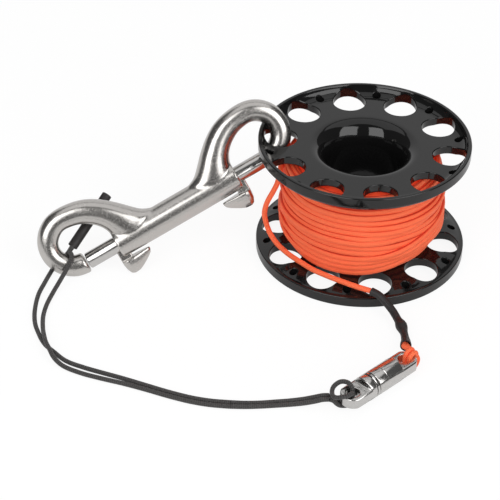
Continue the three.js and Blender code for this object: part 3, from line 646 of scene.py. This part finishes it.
# Spool
spool = {
    "flangeRadius": 45, "height": 55, "boreRadius": 16, "hubWall": 3, "steps": 160,
    "web": {"upper": (47.1, 51.1), "lower": (48.4, 52.4)},
    "edges": {"upper": (0.9, 0.45), "lower": (0.45, 0.45)},
    "rimHeight": 4.6, "rimWidth": 1.8, "rimRound": 0.5, "rimSteps": 4, "ledge": 0.8,
    "rimInside": [(0.08, 0.3), (0.28, 0.06), (0.5, 0)],  # out from its foot, and down from its top
    "dishBlend": 4.6, "dishSweep": (8, 75), "underBlend": 4.4, "underRise": 1.7,
    "mouthFlare": 7.5, "mouthDepth": 10, "mouthSteps": 14, "webSteps": 12,
    "hubFillet": 2.2, "filletSteps": 6, "spigot": 4, "joint": 0.3,
    "holes": 10, "holePhase": -9.3, "hookHole": 5, "hookHoleRound": 2.4,
    "hole": {"circle": 35.9, "radii": (7.1, 7.1), "sides": 56},
    "tie": {"circle": 40.6, "radii": (1.0, 1.75), "sides": 28, "rounds": (0.22, 0.22)},
    "cutSweep": (5, 75), "cutUnder": 2, "cutOver": 6,
}
hubRadius = spool["boreRadius"] + spool["hubWall"]


# The lower flange is made upside down, as the upper one is, and turned over
def flangeProfile(side):
    webUnder, webTop = spool["web"][side]
    bore, half = spool["boreRadius"], spool["height"] / 2
    outer, top = spool["flangeRadius"], spool["height"]
    seat = bore + spool["hubWall"] / 2
    if side == "lower":
        seat += spool["joint"] / 2
        foot, end = half + spool["joint"], half + spool["spigot"] + spool["joint"]
    else:
        seat -= spool["joint"] / 2
        foot, end = half, half - spool["spigot"]
    points = [(seat, foot), (seat, end), (bore, end)]
    for turn in sweep(spool["mouthSteps"]):
        rise = spool["mouthDepth"] * (1 - sin(turn))
        points.append((bore + spool["mouthFlare"] * (1 - cos(turn)), webTop - rise))
    blendFoot = outer - spool["rimWidth"] - spool["dishBlend"]
    mouthEdge, steps = bore + spool["mouthFlare"], spool["webSteps"]
    points += [(mouthEdge + (blendFoot - mouthEdge) * step / steps, webTop) for step in range(1, steps)]
    for turn in sweep(*spool["dishSweep"]):
        points.append((blendFoot + spool["dishBlend"] * sin(turn), top - (top - webTop) * cos(turn)))
    inner, low, soft = outer - spool["rimWidth"], top - spool["rimHeight"], spool["rimRound"]
    points += [(inner + away, top - down) for away, down in spool["rimInside"]]
    for height, start in ((top - soft, pi / 2), (low + soft, 0)):
        for turn in sweep(spool["rimSteps"]):
            points.append((outer - soft + soft * cos(start - turn), height + soft * sin(start - turn)))
    points += [(inner + spool["ledge"], low), (inner, webUnder + spool["underRise"])]
    points.append((inner - spool["underBlend"], webUnder))
    fillet = spool["hubFillet"]
    for turn in sweep(spool["filletSteps"]):
        points.append((hubRadius + fillet * (1 - sin(turn)), webUnder - fillet * (1 - cos(turn))))
    return points + [(hubRadius, foot), points[0]]


# The web's two faces rise towards the rim
def webLevels(radius, side):
    webUnder, webTop = spool["web"][side]
    inner, top = spool["flangeRadius"] - spool["rimWidth"], spool["height"]
    over = min(max((radius - inner) / spool["dishBlend"] + 1, 0), 1)
    under = min(max((radius - inner) / spool["underBlend"] + 1, 0), 1)
    return webUnder + spool["underRise"] * under, top - (top - webTop) * sqrt(1 - over * over)


# A cutter that leaves both edges of its hole rounded and follows the web's faces
def holeCutter(hole, radii, rounds, angle, side):
    webUnder, webTop = spool["web"][side]
    (narrow, wide), (underRound, topRound) = radii, rounds
    foot, head = webUnder - spool["cutUnder"], webTop + spool["cutOver"]
    turns = sweep(*spool["cutSweep"])
    points = [(0, foot), (narrow + underRound * (1 - cos(turns[-1])), foot)]
    for turn in reversed(turns):
        points.append((narrow + underRound * (1 - cos(turn)), webUnder + underRound * (1 - sin(turn))))
    for turn in turns:
        points.append((wide + topRound * (1 - cos(turn)), webTop - topRound * (1 - sin(turn))))
    points += [(points[-1][0], head), (0, head)]
    cutter = spun([(away, 0, height) for away, height in points], hole["sides"])
    applyPlace(cutter, shift(hole["circle"] * cos(angle), hole["circle"] * sin(angle)))
    middle = (webUnder + webTop) / 2
    for vertex in cutter.data.vertices:
        under, over = webLevels(hypot(vertex.co.x, vertex.co.y) / mm, side)
        vertex.co.z += (over - webTop if vertex.co.z > middle * mm else under - webUnder) * mm
    return cutter


def makeFlange(side):
    lower = side == "lower"
    piece = spun([(radius, 0, height) for radius, height in flangeProfile(side)], spool["steps"])
    spacing = 2 * pi / spool["holes"]
    cutters = []
    hole, tie = spool["hole"], spool["tie"]
    tieRadii = tie["radii"][::-1] if lower else tie["radii"]
    for index in range(spool["holes"]):
        angle = radians(spool["holePhase"]) + spacing * index
        rounds = spool["edges"][side]
        if index == spool["hookHole"] and not lower:
            rounds = spool["hookHoleRound"], rounds[1]
        cutters.append(holeCutter(hole, hole["radii"], rounds, angle, side))
        cutters.append(holeCutter(tie, tieRadii, tie["rounds"], angle + spacing / 2, side))
    carve(piece, joined(cutters))
    if lower:
        applyPlace(piece, shift(0, 0, spool["height"]) @ Matrix.Scale(-1, 4, (0, 0, 1)))
        editing(piece, True)
        bpy.ops.mesh.flip_normals()
        done()
    placeAndShade(piece, shift(*spoolPlace), 28)
    applyModifier(piece, "WEIGHTED_NORMAL", keep_sharp=True, weight=100)
    settle(piece, side + "Flange", "moulding", ("spool_half_" + side,), "spool")
    print(side, "flange moulded:", len(piece.data.polygons), "faces")


makeFlange("upper")
makeFlange("lower")


# Wound line: each turn is laid on what lies under it
pack = {
    "width": 2.76, "thickness": 1.8, "firstRadius": 30.25, "crown": 1.7, "outermost": 34.9, "pitch": 2.66,
    "bottom": 6.9, "top": 46.8, "stacked": 18.6, "steps": 72, "sides": 12, "power": 0.8, "ease": 2,
    "nested": (0.9, 0.93),  # shares of the width and the thickness at which turns touch
    "wanders": (0.05, 0.2, 0.65),  # mm, one for each layer
    "sway": [(1, 1, 3.1), (0.6, 2, 16), (0.5, 0.37, 0)],  # size, waves in a turn, shift along the layer
    "fade": 6,
    "crossings": 4, "crossLow": 8.4, "crossStep": 2.55, "crossRise": 9.2, "leaveHeight": 40.6,
    "dip": (135, 240), "climb": (258, 350), "lowAt": 250, "leave": (10, 165), "leaveAt": 180,  # degrees
    "heartRadius": 27.5, "heartGap": 0.3, "heartSlant": 2.6, "heartEnds": (10, 45),
}


def layTurns():
    steps, wanders = pack["steps"], pack["wanders"]
    wide, thick = (share * pack[key] for share, key in zip(pack["nested"], ("width", "thickness")))
    middle, half = (pack["top"] + pack["bottom"]) / 2, (pack["top"] - pack["bottom"]) / 2
    laid = [[] for _ in range(steps)]
    points = []

    def lay(step, height):
        under = laid[step % steps]
        radius = pack["firstRadius"] - pack["crown"] * ((height - middle) / half) ** 2
        for other, level in under:
            apart = abs(height - level) / wide
            if apart < 1:
                radius = max(radius, other + thick * sqrt(1 - apart * apart))
        radius = min(radius, pack["outermost"])
        under.append((radius, height))
        points.append((2 * pi * step / steps, radius, height))

    low, high = pack["bottom"] + pack["width"] / 2, pack["top"] - pack["width"] / 2
    ends = (high, low, high, pack["stacked"])
    step = 0
    for start, end, wander in zip(ends, ends[1:], wanders):
        count = round(abs(end - start) / pack["pitch"] * steps)
        if end == pack["stacked"]:
            count += -(step + count) % steps
        for part in range(count):
            angle, share = 2 * pi * step / steps, part / count
            drift = sum(size * sin(waves * angle + shift * share) for size, waves, shift in pack["sway"])
            fade = min(1, pack["fade"] * share, pack["fade"] * (1 - share))
            lay(step, start + (end - start) * share + wander * drift * fade)
            step += 1
    # the last turns lie low in front and cross the others at the sides; the very last leaves at the left
    before = pack["stacked"]
    for crossing in range(pack["crossings"] + 1):
        lowest = pack["crossLow"] + pack["crossStep"] * crossing
        after = lowest + pack["crossRise"]
        leaving = crossing == pack["crossings"]
        for part in range(steps):
            turned = 360 * part / steps
            if leaving:
                lay(step, before + (pack["leaveHeight"] - before) * smoothStep(turned, *pack["leave"]))
            elif turned < pack["lowAt"]:
                lay(step, before + (lowest - before) * smoothStep(turned, *pack["dip"]))
            else:
                lay(step, lowest + (after - lowest) * smoothStep(turned, *pack["climb"]))
            step += 1
            if leaving and turned >= pack["leaveAt"]:
                break
        before = after
    return points


def makePack():
    laid = layTurns()
    route = []
    for index in range(len(laid)):
        near = laid[max(index - pack["ease"], 0):index + pack["ease"] + 1]
        radius = sum(item[1] for item in near) / len(near)
        height = sum(item[2] for item in near) / len(near)
        angle = laid[index][0]
        route.append(Vector((radius * cos(angle), radius * sin(angle), height)) + spoolPlace)
    section = {"power": pack["power"], "stretch": pack["width"] / pack["thickness"]}
    wound = skin(route, pack["thickness"] / 2, pack["sides"], flat=section)
    settle(wound, "woundLine", "line", ("line_winding",), "spool", "wound_line")
    inner, outer, (foot, head) = hubRadius + pack["heartGap"], pack["heartRadius"], pack["heartEnds"]
    slant = inner + pack["heartSlant"]
    heart = spun([
        (inner, 0, foot), (slant, 0, pack["bottom"]), (outer, 0, pack["bottom"]), (outer, 0, pack["top"]),
        (slant, 0, pack["top"]), (inner, 0, head), (inner, 0, foot),
    ], pack["steps"])
    placeAndShade(heart, shift(*spoolPlace))
    settle(heart, "packHeart", "line", ("line_core",), "spool")
    print("line wound:", len(route), "points, outside", round(max(item[1] for item in laid), 2), "mm")


makePack()


# Snap hook, in its own frame: X along the barrel, Z towards the hooks' bulge
snap = {
    "place": (-32.6129073, -11.0029039, 24.5099922),
    "along": (0.8549426, 0.2993966, 0.4235975),
    "back": (-0.1174025, 0.9071099, -0.4041885),
    "rise": (-0.5052621, 0.2958266, 0.8106768),
    "barrelRadius": 6.3, "barrelHalf": 29.5, "barrelSides": 64, "hookSetOut": 15, "hookRadius": 15.4,
    "hookSides": 32, "hookSections": 60, "tipRadius": 4.65, "tipAngle": -91, "tipRound": 0.9, "tipSteps": 5,
    "noseGap": 0.6, "coreWall": 3.6, "voxel": 0.42, "smoothing": 12, "flatness": 0.88,
    "thickness": [1, 0.99, 0.97, 0.95, 0.94, 0.96, 1, 1, 1],
    "neck": [
        (-0.325, 0.341, -0.474, 0.958, 0.76), (-0.578, 0.211, -0.877, 0.828, 0.81),
        (-0.773, 0.049, -1.234, 0.607, 0.86), (-0.909, -0.146, -1.558, 0.321, 0.9),
        (-0.987, -0.38, -1.831, 0.036, 0.94), (-1.032, -0.659, -2.058, -0.179, 0.94),
        (-1.104, -0.821, -2.292, -0.292, 0.88), (-1.169, -0.886, -2.5, -0.42, 0.6),
    ],
}
gate = {
    "radius": 3.55, "bore": 3.85, "rear": 19.5, "rearRound": 0.3, "spigotRadius": 1.9, "spigotLength": 3,
    "nose": 0.6, "noseShares": (0.35, 0.25), "travel": 12, "sides": 48,
}
spring = {"coilRadius": 2.8, "wireRadius": 0.25, "seat": 0.55, "turns": 7, "steps": 20, "sides": 8}
lever = {
    "postLength": 5.3, "postWidth": 3.2, "postOuter": 31.4, "postTop": 1.6, "postSunk": 1.5,
    "postRound": 0.45, "padTop": 7.7, "padBottom": 14.8, "padLength": 13.3, "padHalfWidth": 3.6,
    "padRound": 0.5, "padSides": 32, "slotClearance": 0.4, "seat": 0.05, "near": 0.05, "voxel": 0.16,
    "smoothing": 5,
    "shares": [
        (0, 0.3, 0.3), (0.03, 0.62, 0.62), (0.1, 0.92, 0.9), (0.2, 1, 1), (0.4, 0.92, 0.97),
        (0.55, 0.8, 0.84), (0.7, 0.63, 0.68), (0.85, 0.45, 0.5), (0.95, 0.3, 0.35), (1, 0.12, 0.16),
    ],
}
mouth = snap["barrelHalf"]
hookAlong = mouth + snap["hookSetOut"]
hookRise = snap["hookRadius"] - snap["tipRadius"]
tipTurn = radians(snap["tipAngle"])
tipFace = hookAlong + hookRise * cos(tipTurn)
columns = [Vector(snap[key]) for key in ("along", "back", "rise")]
snapMatrix = shift(*snap["place"]) @ Matrix(columns).transposed().to_4x4()
halfTurn = Matrix.Rotation(pi, 4, "Z")
gateMatrices = {"right": snapMatrix, "left": snapMatrix @ halfTurn}


# The value at a share of the way along a list of rows, eased through them
def onCurve(rows, share):
    place = share * (len(rows) - 1)
    index = min(int(place), len(rows) - 2)
    t = place - index
    a, b = rows[max(index - 1, 0)], rows[index]
    c, d = rows[index + 1], rows[min(index + 2, len(rows) - 1)]
    return [
        0.5 * (2 * q + (r - p) * t + (2 * p - 5 * q + 4 * r - s) * t * t + (3 * q - p - 3 * r + s) * t ** 3)
        for p, q, r, s in zip(a, b, c, d)
    ]


# Sections of the hook: inner point, outer point and half width
def hookSections():
    radius, tipRadius, soft = snap["hookRadius"], snap["tipRadius"], snap["tipRound"]
    rows = []
    for step, share in enumerate(snap["thickness"]):
        turn = tipTurn + (pi / 2 - tipTurn) * step / (len(snap["thickness"]) - 1)
        inner = radius - 2 * tipRadius * share
        rows.append([inner * cos(turn), inner * sin(turn), radius * cos(turn), radius * sin(turn), tipRadius])
    for a, b, c, d, width in snap["neck"]:
        rows.append([*(value * radius for value in (a, b, c, d)), snap["barrelRadius"] * width])
    count = snap["hookSections"]
    sections = [onCurve(rows, step / count) for step in range(count + 1)]
    tip = []
    for slope in sweep(snap["tipSteps"]):
        drawIn, turn = soft * (1 - sin(slope)), tipTurn + soft * (1 - cos(slope)) / hookRise
        inner, outer = radius - 2 * tipRadius + drawIn, radius - drawIn
        tip.append([
            inner * cos(turn), inner * sin(turn), outer * cos(turn), outer * sin(turn), tipRadius - drawIn
        ])
    return tip + sections[1:]


# A ring is drawn out section by section: moved, turned level, resized and turned to its own slant
def drawHook():
    piece, slant, size = None, 0, (1, 1)
    for a, b, c, d, width in hookSections():
        centre = Vector((hookAlong + (a + c) / 2, 0, hookRise + (b + d) / 2)) * mm
        angle = atan2(d - b, c - a)
        half = hypot(c - a, d - b) / 2
        if piece is None:
            choose()
            bpy.ops.mesh.primitive_circle_add(
                vertices=snap["hookSides"], radius=mm, fill_type="NGON", location=centre
            )
            piece = bpy.context.object
            for vertex in piece.data.vertices:
                for axis in range(2):
                    part = vertex.co[axis] / mm
                    vertex.co[axis] = copysign(abs(part) ** snap["flatness"], part) * mm
            bpy.ops.object.mode_set(mode="EDIT")
            bpy.ops.mesh.select_all(action="SELECT")
        else:
            bpy.ops.mesh.extrude_region_move(TRANSFORM_OT_translate={"value": centre - last})
            bpy.ops.transform.rotate(value=-slant, orient_axis="Y", center_override=centre)
        bpy.ops.transform.resize(value=(half / size[0], width / size[1], 1), center_override=centre)
        bpy.ops.transform.rotate(value=angle, orient_axis="Y", center_override=centre)
        slant, size, last = angle, (half, width), centre
    done()
    closeUp(applyPlace(piece))
    return piece


def makeSnapBody():
    right = drawHook()
    left = right.copy()
    left.data = right.data.copy()
    bpy.context.scene.collection.objects.link(left)
    applyPlace(left, halfTurn)
    barrel = drumX(snap["barrelRadius"], -mouth, mouth, snap["barrelSides"])
    body = joined([right, left, barrel])
    soften(body, snap["voxel"], snap["smoothing"])
    cutters = []
    for side in range(2):
        bore = drumX(gate["bore"], snap["coreWall"] / 2, mouth + snap["hookSetOut"] / 2, gate["sides"])
        inner = lever["postOuter"] - lever["postLength"] - gate["travel"] - lever["slotClearance"]
        half = lever["postWidth"] / 2 + lever["slotClearance"]
        slot = block((inner, -half, -snap["barrelRadius"] - overrun), (mouth + overrun, half, 0))
        for cutter in (bore, slot):
            cutters.append(applyPlace(cutter, halfTurn) if side else cutter)
    for cutter in cutters:
        carve(body, cutter)
    placeAndShade(body, snapMatrix, 35)
    settle(body, "snapBody", "cast_steel", ("snap_body",), "snap")
    print("snap body forged:", len(body.data.polygons), "faces")


def makeGates():
    nose, soft, rear, radius = tipFace - snap["noseGap"], gate["nose"], gate["rear"], gate["radius"]
    spigotEnd, rearRound, (back, inward) = rear - gate["spigotLength"], gate["rearRound"], gate["noseShares"]
    start, end = snap["coreWall"] / 2 + spring["seat"], rear - spring["seat"]
    steps = spring["turns"] * spring["steps"]
    coil = []
    for step in range(steps + 1):
        turn = 2 * pi * step / spring["steps"]
        across, up = spring["coilRadius"] * cos(turn), spring["coilRadius"] * sin(turn)
        coil.append(Vector((start + (end - start) * step / steps, across, up)))
    for side, matrix in gateMatrices.items():
        bolt = spun([
            (spigotEnd, 0, 0), (spigotEnd, 0, gate["spigotRadius"]), (rear, 0, gate["spigotRadius"]),
            (rear, 0, radius - rearRound), (rear + rearRound, 0, radius), (nose - soft, 0, radius),
            (nose - soft * back, 0, radius - soft * inward), (nose, 0, radius - soft), (nose, 0, 0),
        ], gate["sides"], axis=(1, 0, 0))
        placeAndShade(bolt, matrix, 40)
        settle(bolt, side + "Bolt", "cast_steel", ("gate_bolt_" + side,), "gate_" + side, "polished_steel")

        wire = skin(coil, spring["wireRadius"], spring["sides"])
        applyPlace(wire, matrix)
        settle(wire, side + "Spring", "spring_steel", ("gate_spring_" + side,))
        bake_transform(wire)


# The pad of a thumb lever is drop-shaped, drawn out section by section and cut level at its top
def drawPad():
    outer, top = lever["postOuter"], lever["padTop"]
    pad, size, last = None, (1, 1), None
    for along, width, depth in lever["shares"]:
        centre = Vector((outer - lever["padLength"] * along, 0, -top)) * mm
        wide, deep = lever["padHalfWidth"] * width, (lever["padBottom"] - top) * depth
        if pad is None:
            choose()
            bpy.ops.mesh.primitive_circle_add(
                vertices=lever["padSides"], radius=mm, fill_type="NGON", location=centre,
                rotation=(0, -pi / 2, 0),
            )
            pad = applyPlace(bpy.context.object)
            bpy.ops.object.mode_set(mode="EDIT")
            bpy.ops.mesh.select_all(action="SELECT")
        else:
            bpy.ops.mesh.extrude_region_move(TRANSFORM_OT_translate={"value": centre - last})
        bpy.ops.transform.resize(value=(1, wide / size[0], deep / size[1]), center_override=centre)
        size, last = (wide, deep), centre
    done()
    editing(pad, True)
    bpy.ops.mesh.bisect(plane_co=(0, 0, -top * mm), plane_no=(0, 0, 1), use_fill=True, clear_outer=True)
    done()
    closeUp(pad)
    roundEdges(pad, lever["padRound"], test=lambda point: abs(point.z + top) < lever["near"])
    return pad


# Its post stands on the bolt
def makeLevers():
    inner, outer, half = lever["postOuter"] - lever["postLength"], lever["postOuter"], lever["postWidth"] / 2
    for side, matrix in gateMatrices.items():
        post = block((inner, -half, -lever["padTop"] - lever["postSunk"]), (outer, half, -lever["postTop"]))
        roundEdges(post, lever["postRound"])
        carve(post, drumX(gate["radius"] + lever["seat"], inner - overrun, outer + overrun, gate["sides"]))
        piece = joined([drawPad(), post])
        soften(piece, lever["voxel"], lever["smoothing"])
        placeAndShade(piece, matrix, 50)
        settle(piece, side + "Lever", "cast_steel", ("thumb_lever_" + side,), "gate_" + side)


makeSnapBody()
makeGates()
makeLevers()
print("snap hook made")


# Swivel, along X with its seam at zero
swivel = {
    "radius": 5.2, "lineEnd": 24.8, "cordEnd": 15.2, "lineTongue": 10.4, "cordShoulder": 3.4, "tongue": 4.6,
    "holeRadius": 2.7, "holeFromEnd": 4.9, "seam": (1.1, -101.5, 5.2), "heading": 45, "flange": 1.2,
    "bore": 3.4, "bush": 4.5, "stem": 1.6, "stemSunk": 0.5, "head": 1.6, "gap": 0.3,
    "barrelRound": 0.45, "eyeRound": 0.55, "bushRound": 0.25, "roundAngle": 40,
    "groove": 4.9, "grooveDepth": 0.14, "grooveHalf": 0.16, "sides": 96, "holeSides": 64, "stemSides": 48,
}


def swivelEye(length, shoulder):
    radius, tongue, sides = swivel["radius"], swivel["tongue"], swivel["sides"]
    past = radius + overrun
    piece = drumX(radius, 0, length, sides)
    for sign in (-1, 1):
        low, high = sorted((sign * tongue / 2, sign * past))
        carve(piece, block((shoulder, -past, low), (length + overrun, past, high)))
    end = drum(radius, -past, past, sides)
    applyPlace(end, shift(length - radius))
    wing = block((length - radius, -past, -past - overrun), (length + 2 * overrun, past, past + overrun))
    carve(wing, end)
    carve(piece, wing)
    hole = drum(swivel["holeRadius"], -radius, radius, swivel["holeSides"])
    applyPlace(hole, shift(length - swivel["holeFromEnd"]))
    carve(piece, hole)
    closeUp(piece)
    return piece


def makeSwivel():
    gap, flange, radius, sides = swivel["gap"], swivel["flange"] / 2, swivel["radius"], swivel["sides"]
    seam = Vector(swivel["seam"]) + spoolPlace
    matrix = shift(*seam) @ Matrix.Rotation(radians(swivel["heading"]), 4, "Z")
    length = swivel["lineEnd"] - flange - gap
    barrel = swivelEye(length, length - swivel["lineTongue"])
    roundEdges(barrel, swivel["barrelRound"], swivel["roundAngle"])
    boreEnd = swivel["bush"] + swivel["head"] + 2 * gap
    carve(barrel, drumX(swivel["bore"], -overrun, boreEnd, swivel["holeSides"]))
    place, half, past = swivel["groove"], swivel["grooveHalf"], radius + overrun
    ring = spun([
        (place - half, 0, past), (place - half, 0, radius), (place, 0, radius - swivel["grooveDepth"]),
        (place + half, 0, radius), (place + half, 0, past), (place - half, 0, past),
    ], sides, axis=(1, 0, 0))
    carve(barrel, ring)
    placeAndShade(barrel, matrix @ shift(flange + gap), 30)
    settle(barrel, "swivelBarrel", "polished_steel", ("swivel_barrel",), "spool")

    bore, soft, bushEnd = swivel["stem"] + gap, swivel["bushRound"], flange + swivel["bush"]
    outer = swivel["bore"] - gap
    bush = spun([
        (-flange, 0, bore), (-flange, 0, radius - soft), (-flange + soft, 0, radius),
        (flange - soft, 0, radius), (flange, 0, radius - soft), (flange, 0, outer),
        (bushEnd, 0, outer), (bushEnd, 0, bore), (-flange, 0, bore),
    ], sides, axis=(1, 0, 0))
    placeAndShade(bush, matrix, 30)
    settle(bush, "swivelBush", "polished_steel", ("swivel_bush",), "spool")

    eye = swivelEye(swivel["cordEnd"] - flange - gap, swivel["cordShoulder"])
    roundEdges(eye, swivel["eyeRound"], swivel["roundAngle"])
    applyPlace(eye, shift(-flange - gap) @ halfTurn)
    stemStart, stemEnd = -flange - gap - overrun, flange + swivel["bush"] + gap
    stem = drumX(swivel["stem"], stemStart, stemEnd + swivel["stemSunk"], swivel["stemSides"])
    head = drumX(outer, stemEnd, stemEnd + swivel["head"], swivel["stemSides"])
    carve(eye, stem, "UNION")
    carve(eye, head, "UNION")
    placeAndShade(eye, matrix, 30)
    settle(eye, "swivelEye", "polished_steel", ("swivel_eye",), "lanyard_eye")
    print("swivel turned")


makeSwivel()


# Floor, backdrop, world and lamps
studio = {
    "floorSize": (6, 6), "paper": 0.86, "floorSeen": 0.86, "floorMirrored": 0.38, "floorWhite": 1.05,
    "backdrop": {"place": (0, 1.7, 1.1), "size": (2.7, 2.2), "level": 0.72},
    "world": 0.09,
}
# Two windows of light in front, which show on the lip of the bore, and a broad soft one above
lamps = {
    "windowLeft": {"place": (-0.56, -0.89, 0.89), "aim": (0, 0, 0.89), "size": (0.8, 1.22), "power": 9.2},
    "windowRight": {"place": (0.74, -0.74, 0.89), "aim": (0, 0, 0.89), "size": (0.93, 1.22), "power": 10.3},
    "above": {"place": (0, 0.2, 1.5), "aim": (0, 0, 0), "size": (2.2, 1.4), "power": 7},
}


def stagePlane(finish, shader, size, place=(0, 0, 0), turn=(0, 0, 0)):
    choose()
    bpy.ops.mesh.primitive_plane_add(size=1, location=place, rotation=turn)
    plane = bpy.context.object
    plane.name = finish.material.name
    plane.scale = (*size, 1)
    finish.node("OutputMaterial", {}, {"Surface": shader})
    plane.data.materials.append(finish.material)


def makeFloor():
    finish = Finish("floor")
    kinds = ("Camera", "Glossy", "Transmission")
    camera, glossy, through = (finish.node("LightPath", {}, {}, "Is " + kind + " Ray") for kind in kinds)
    seen, mirrored = camera.higher(through) * studio["floorSeen"], glossy * studio["floorMirrored"]
    level = studio["paper"]
    paper = finish.node("BsdfDiffuse", {}, {"Color": colour(level, level, level)})
    white = finish.node("Emission", {}, {"Color": colour(1, 1, 1), "Strength": studio["floorWhite"]})
    mixed = finish.node("MixShader", {}, {0: seen.higher(mirrored), 1: paper, 2: white})
    stagePlane(finish, mixed, studio["floorSize"])


# A pale wall behind the object, seen only in what mirrors it
def makeBackdrop():
    wall = studio["backdrop"]
    finish = Finish("backdrop")
    glow = finish.node("Emission", {}, {"Color": colour(1, 1, 1), "Strength": wall["level"]})
    stagePlane(finish, glow, wall["size"], wall["place"], (pi / 2, 0, 0))


def makeWorld():
    world = bpy.data.worlds.new("studio")
    world.use_nodes = True
    background = world.node_tree.nodes["Background"]
    background.inputs["Color"].default_value = colour(1, 1, 1)
    background.inputs["Strength"].default_value = studio["world"]
    bpy.context.scene.world = world


def makeLamps():
    for name, lamp in lamps.items():
        aim = Vector(lamp["aim"]) - Vector(lamp["place"])
        turn = aim.to_track_quat("-Z", "Y").to_euler()
        bpy.ops.object.light_add(type="AREA", location=lamp["place"], rotation=turn)
        made = bpy.context.object
        made.name = name + "Lamp"
        made.data.shape = "RECTANGLE"
        made.data.size, made.data.size_y = lamp["size"]
        made.data.energy = lamp["power"]


makeFloor()
makeBackdrop()
makeWorld()
makeLamps()
bpy.context.scene.view_settings.view_transform = "Standard"
print("studio lit")
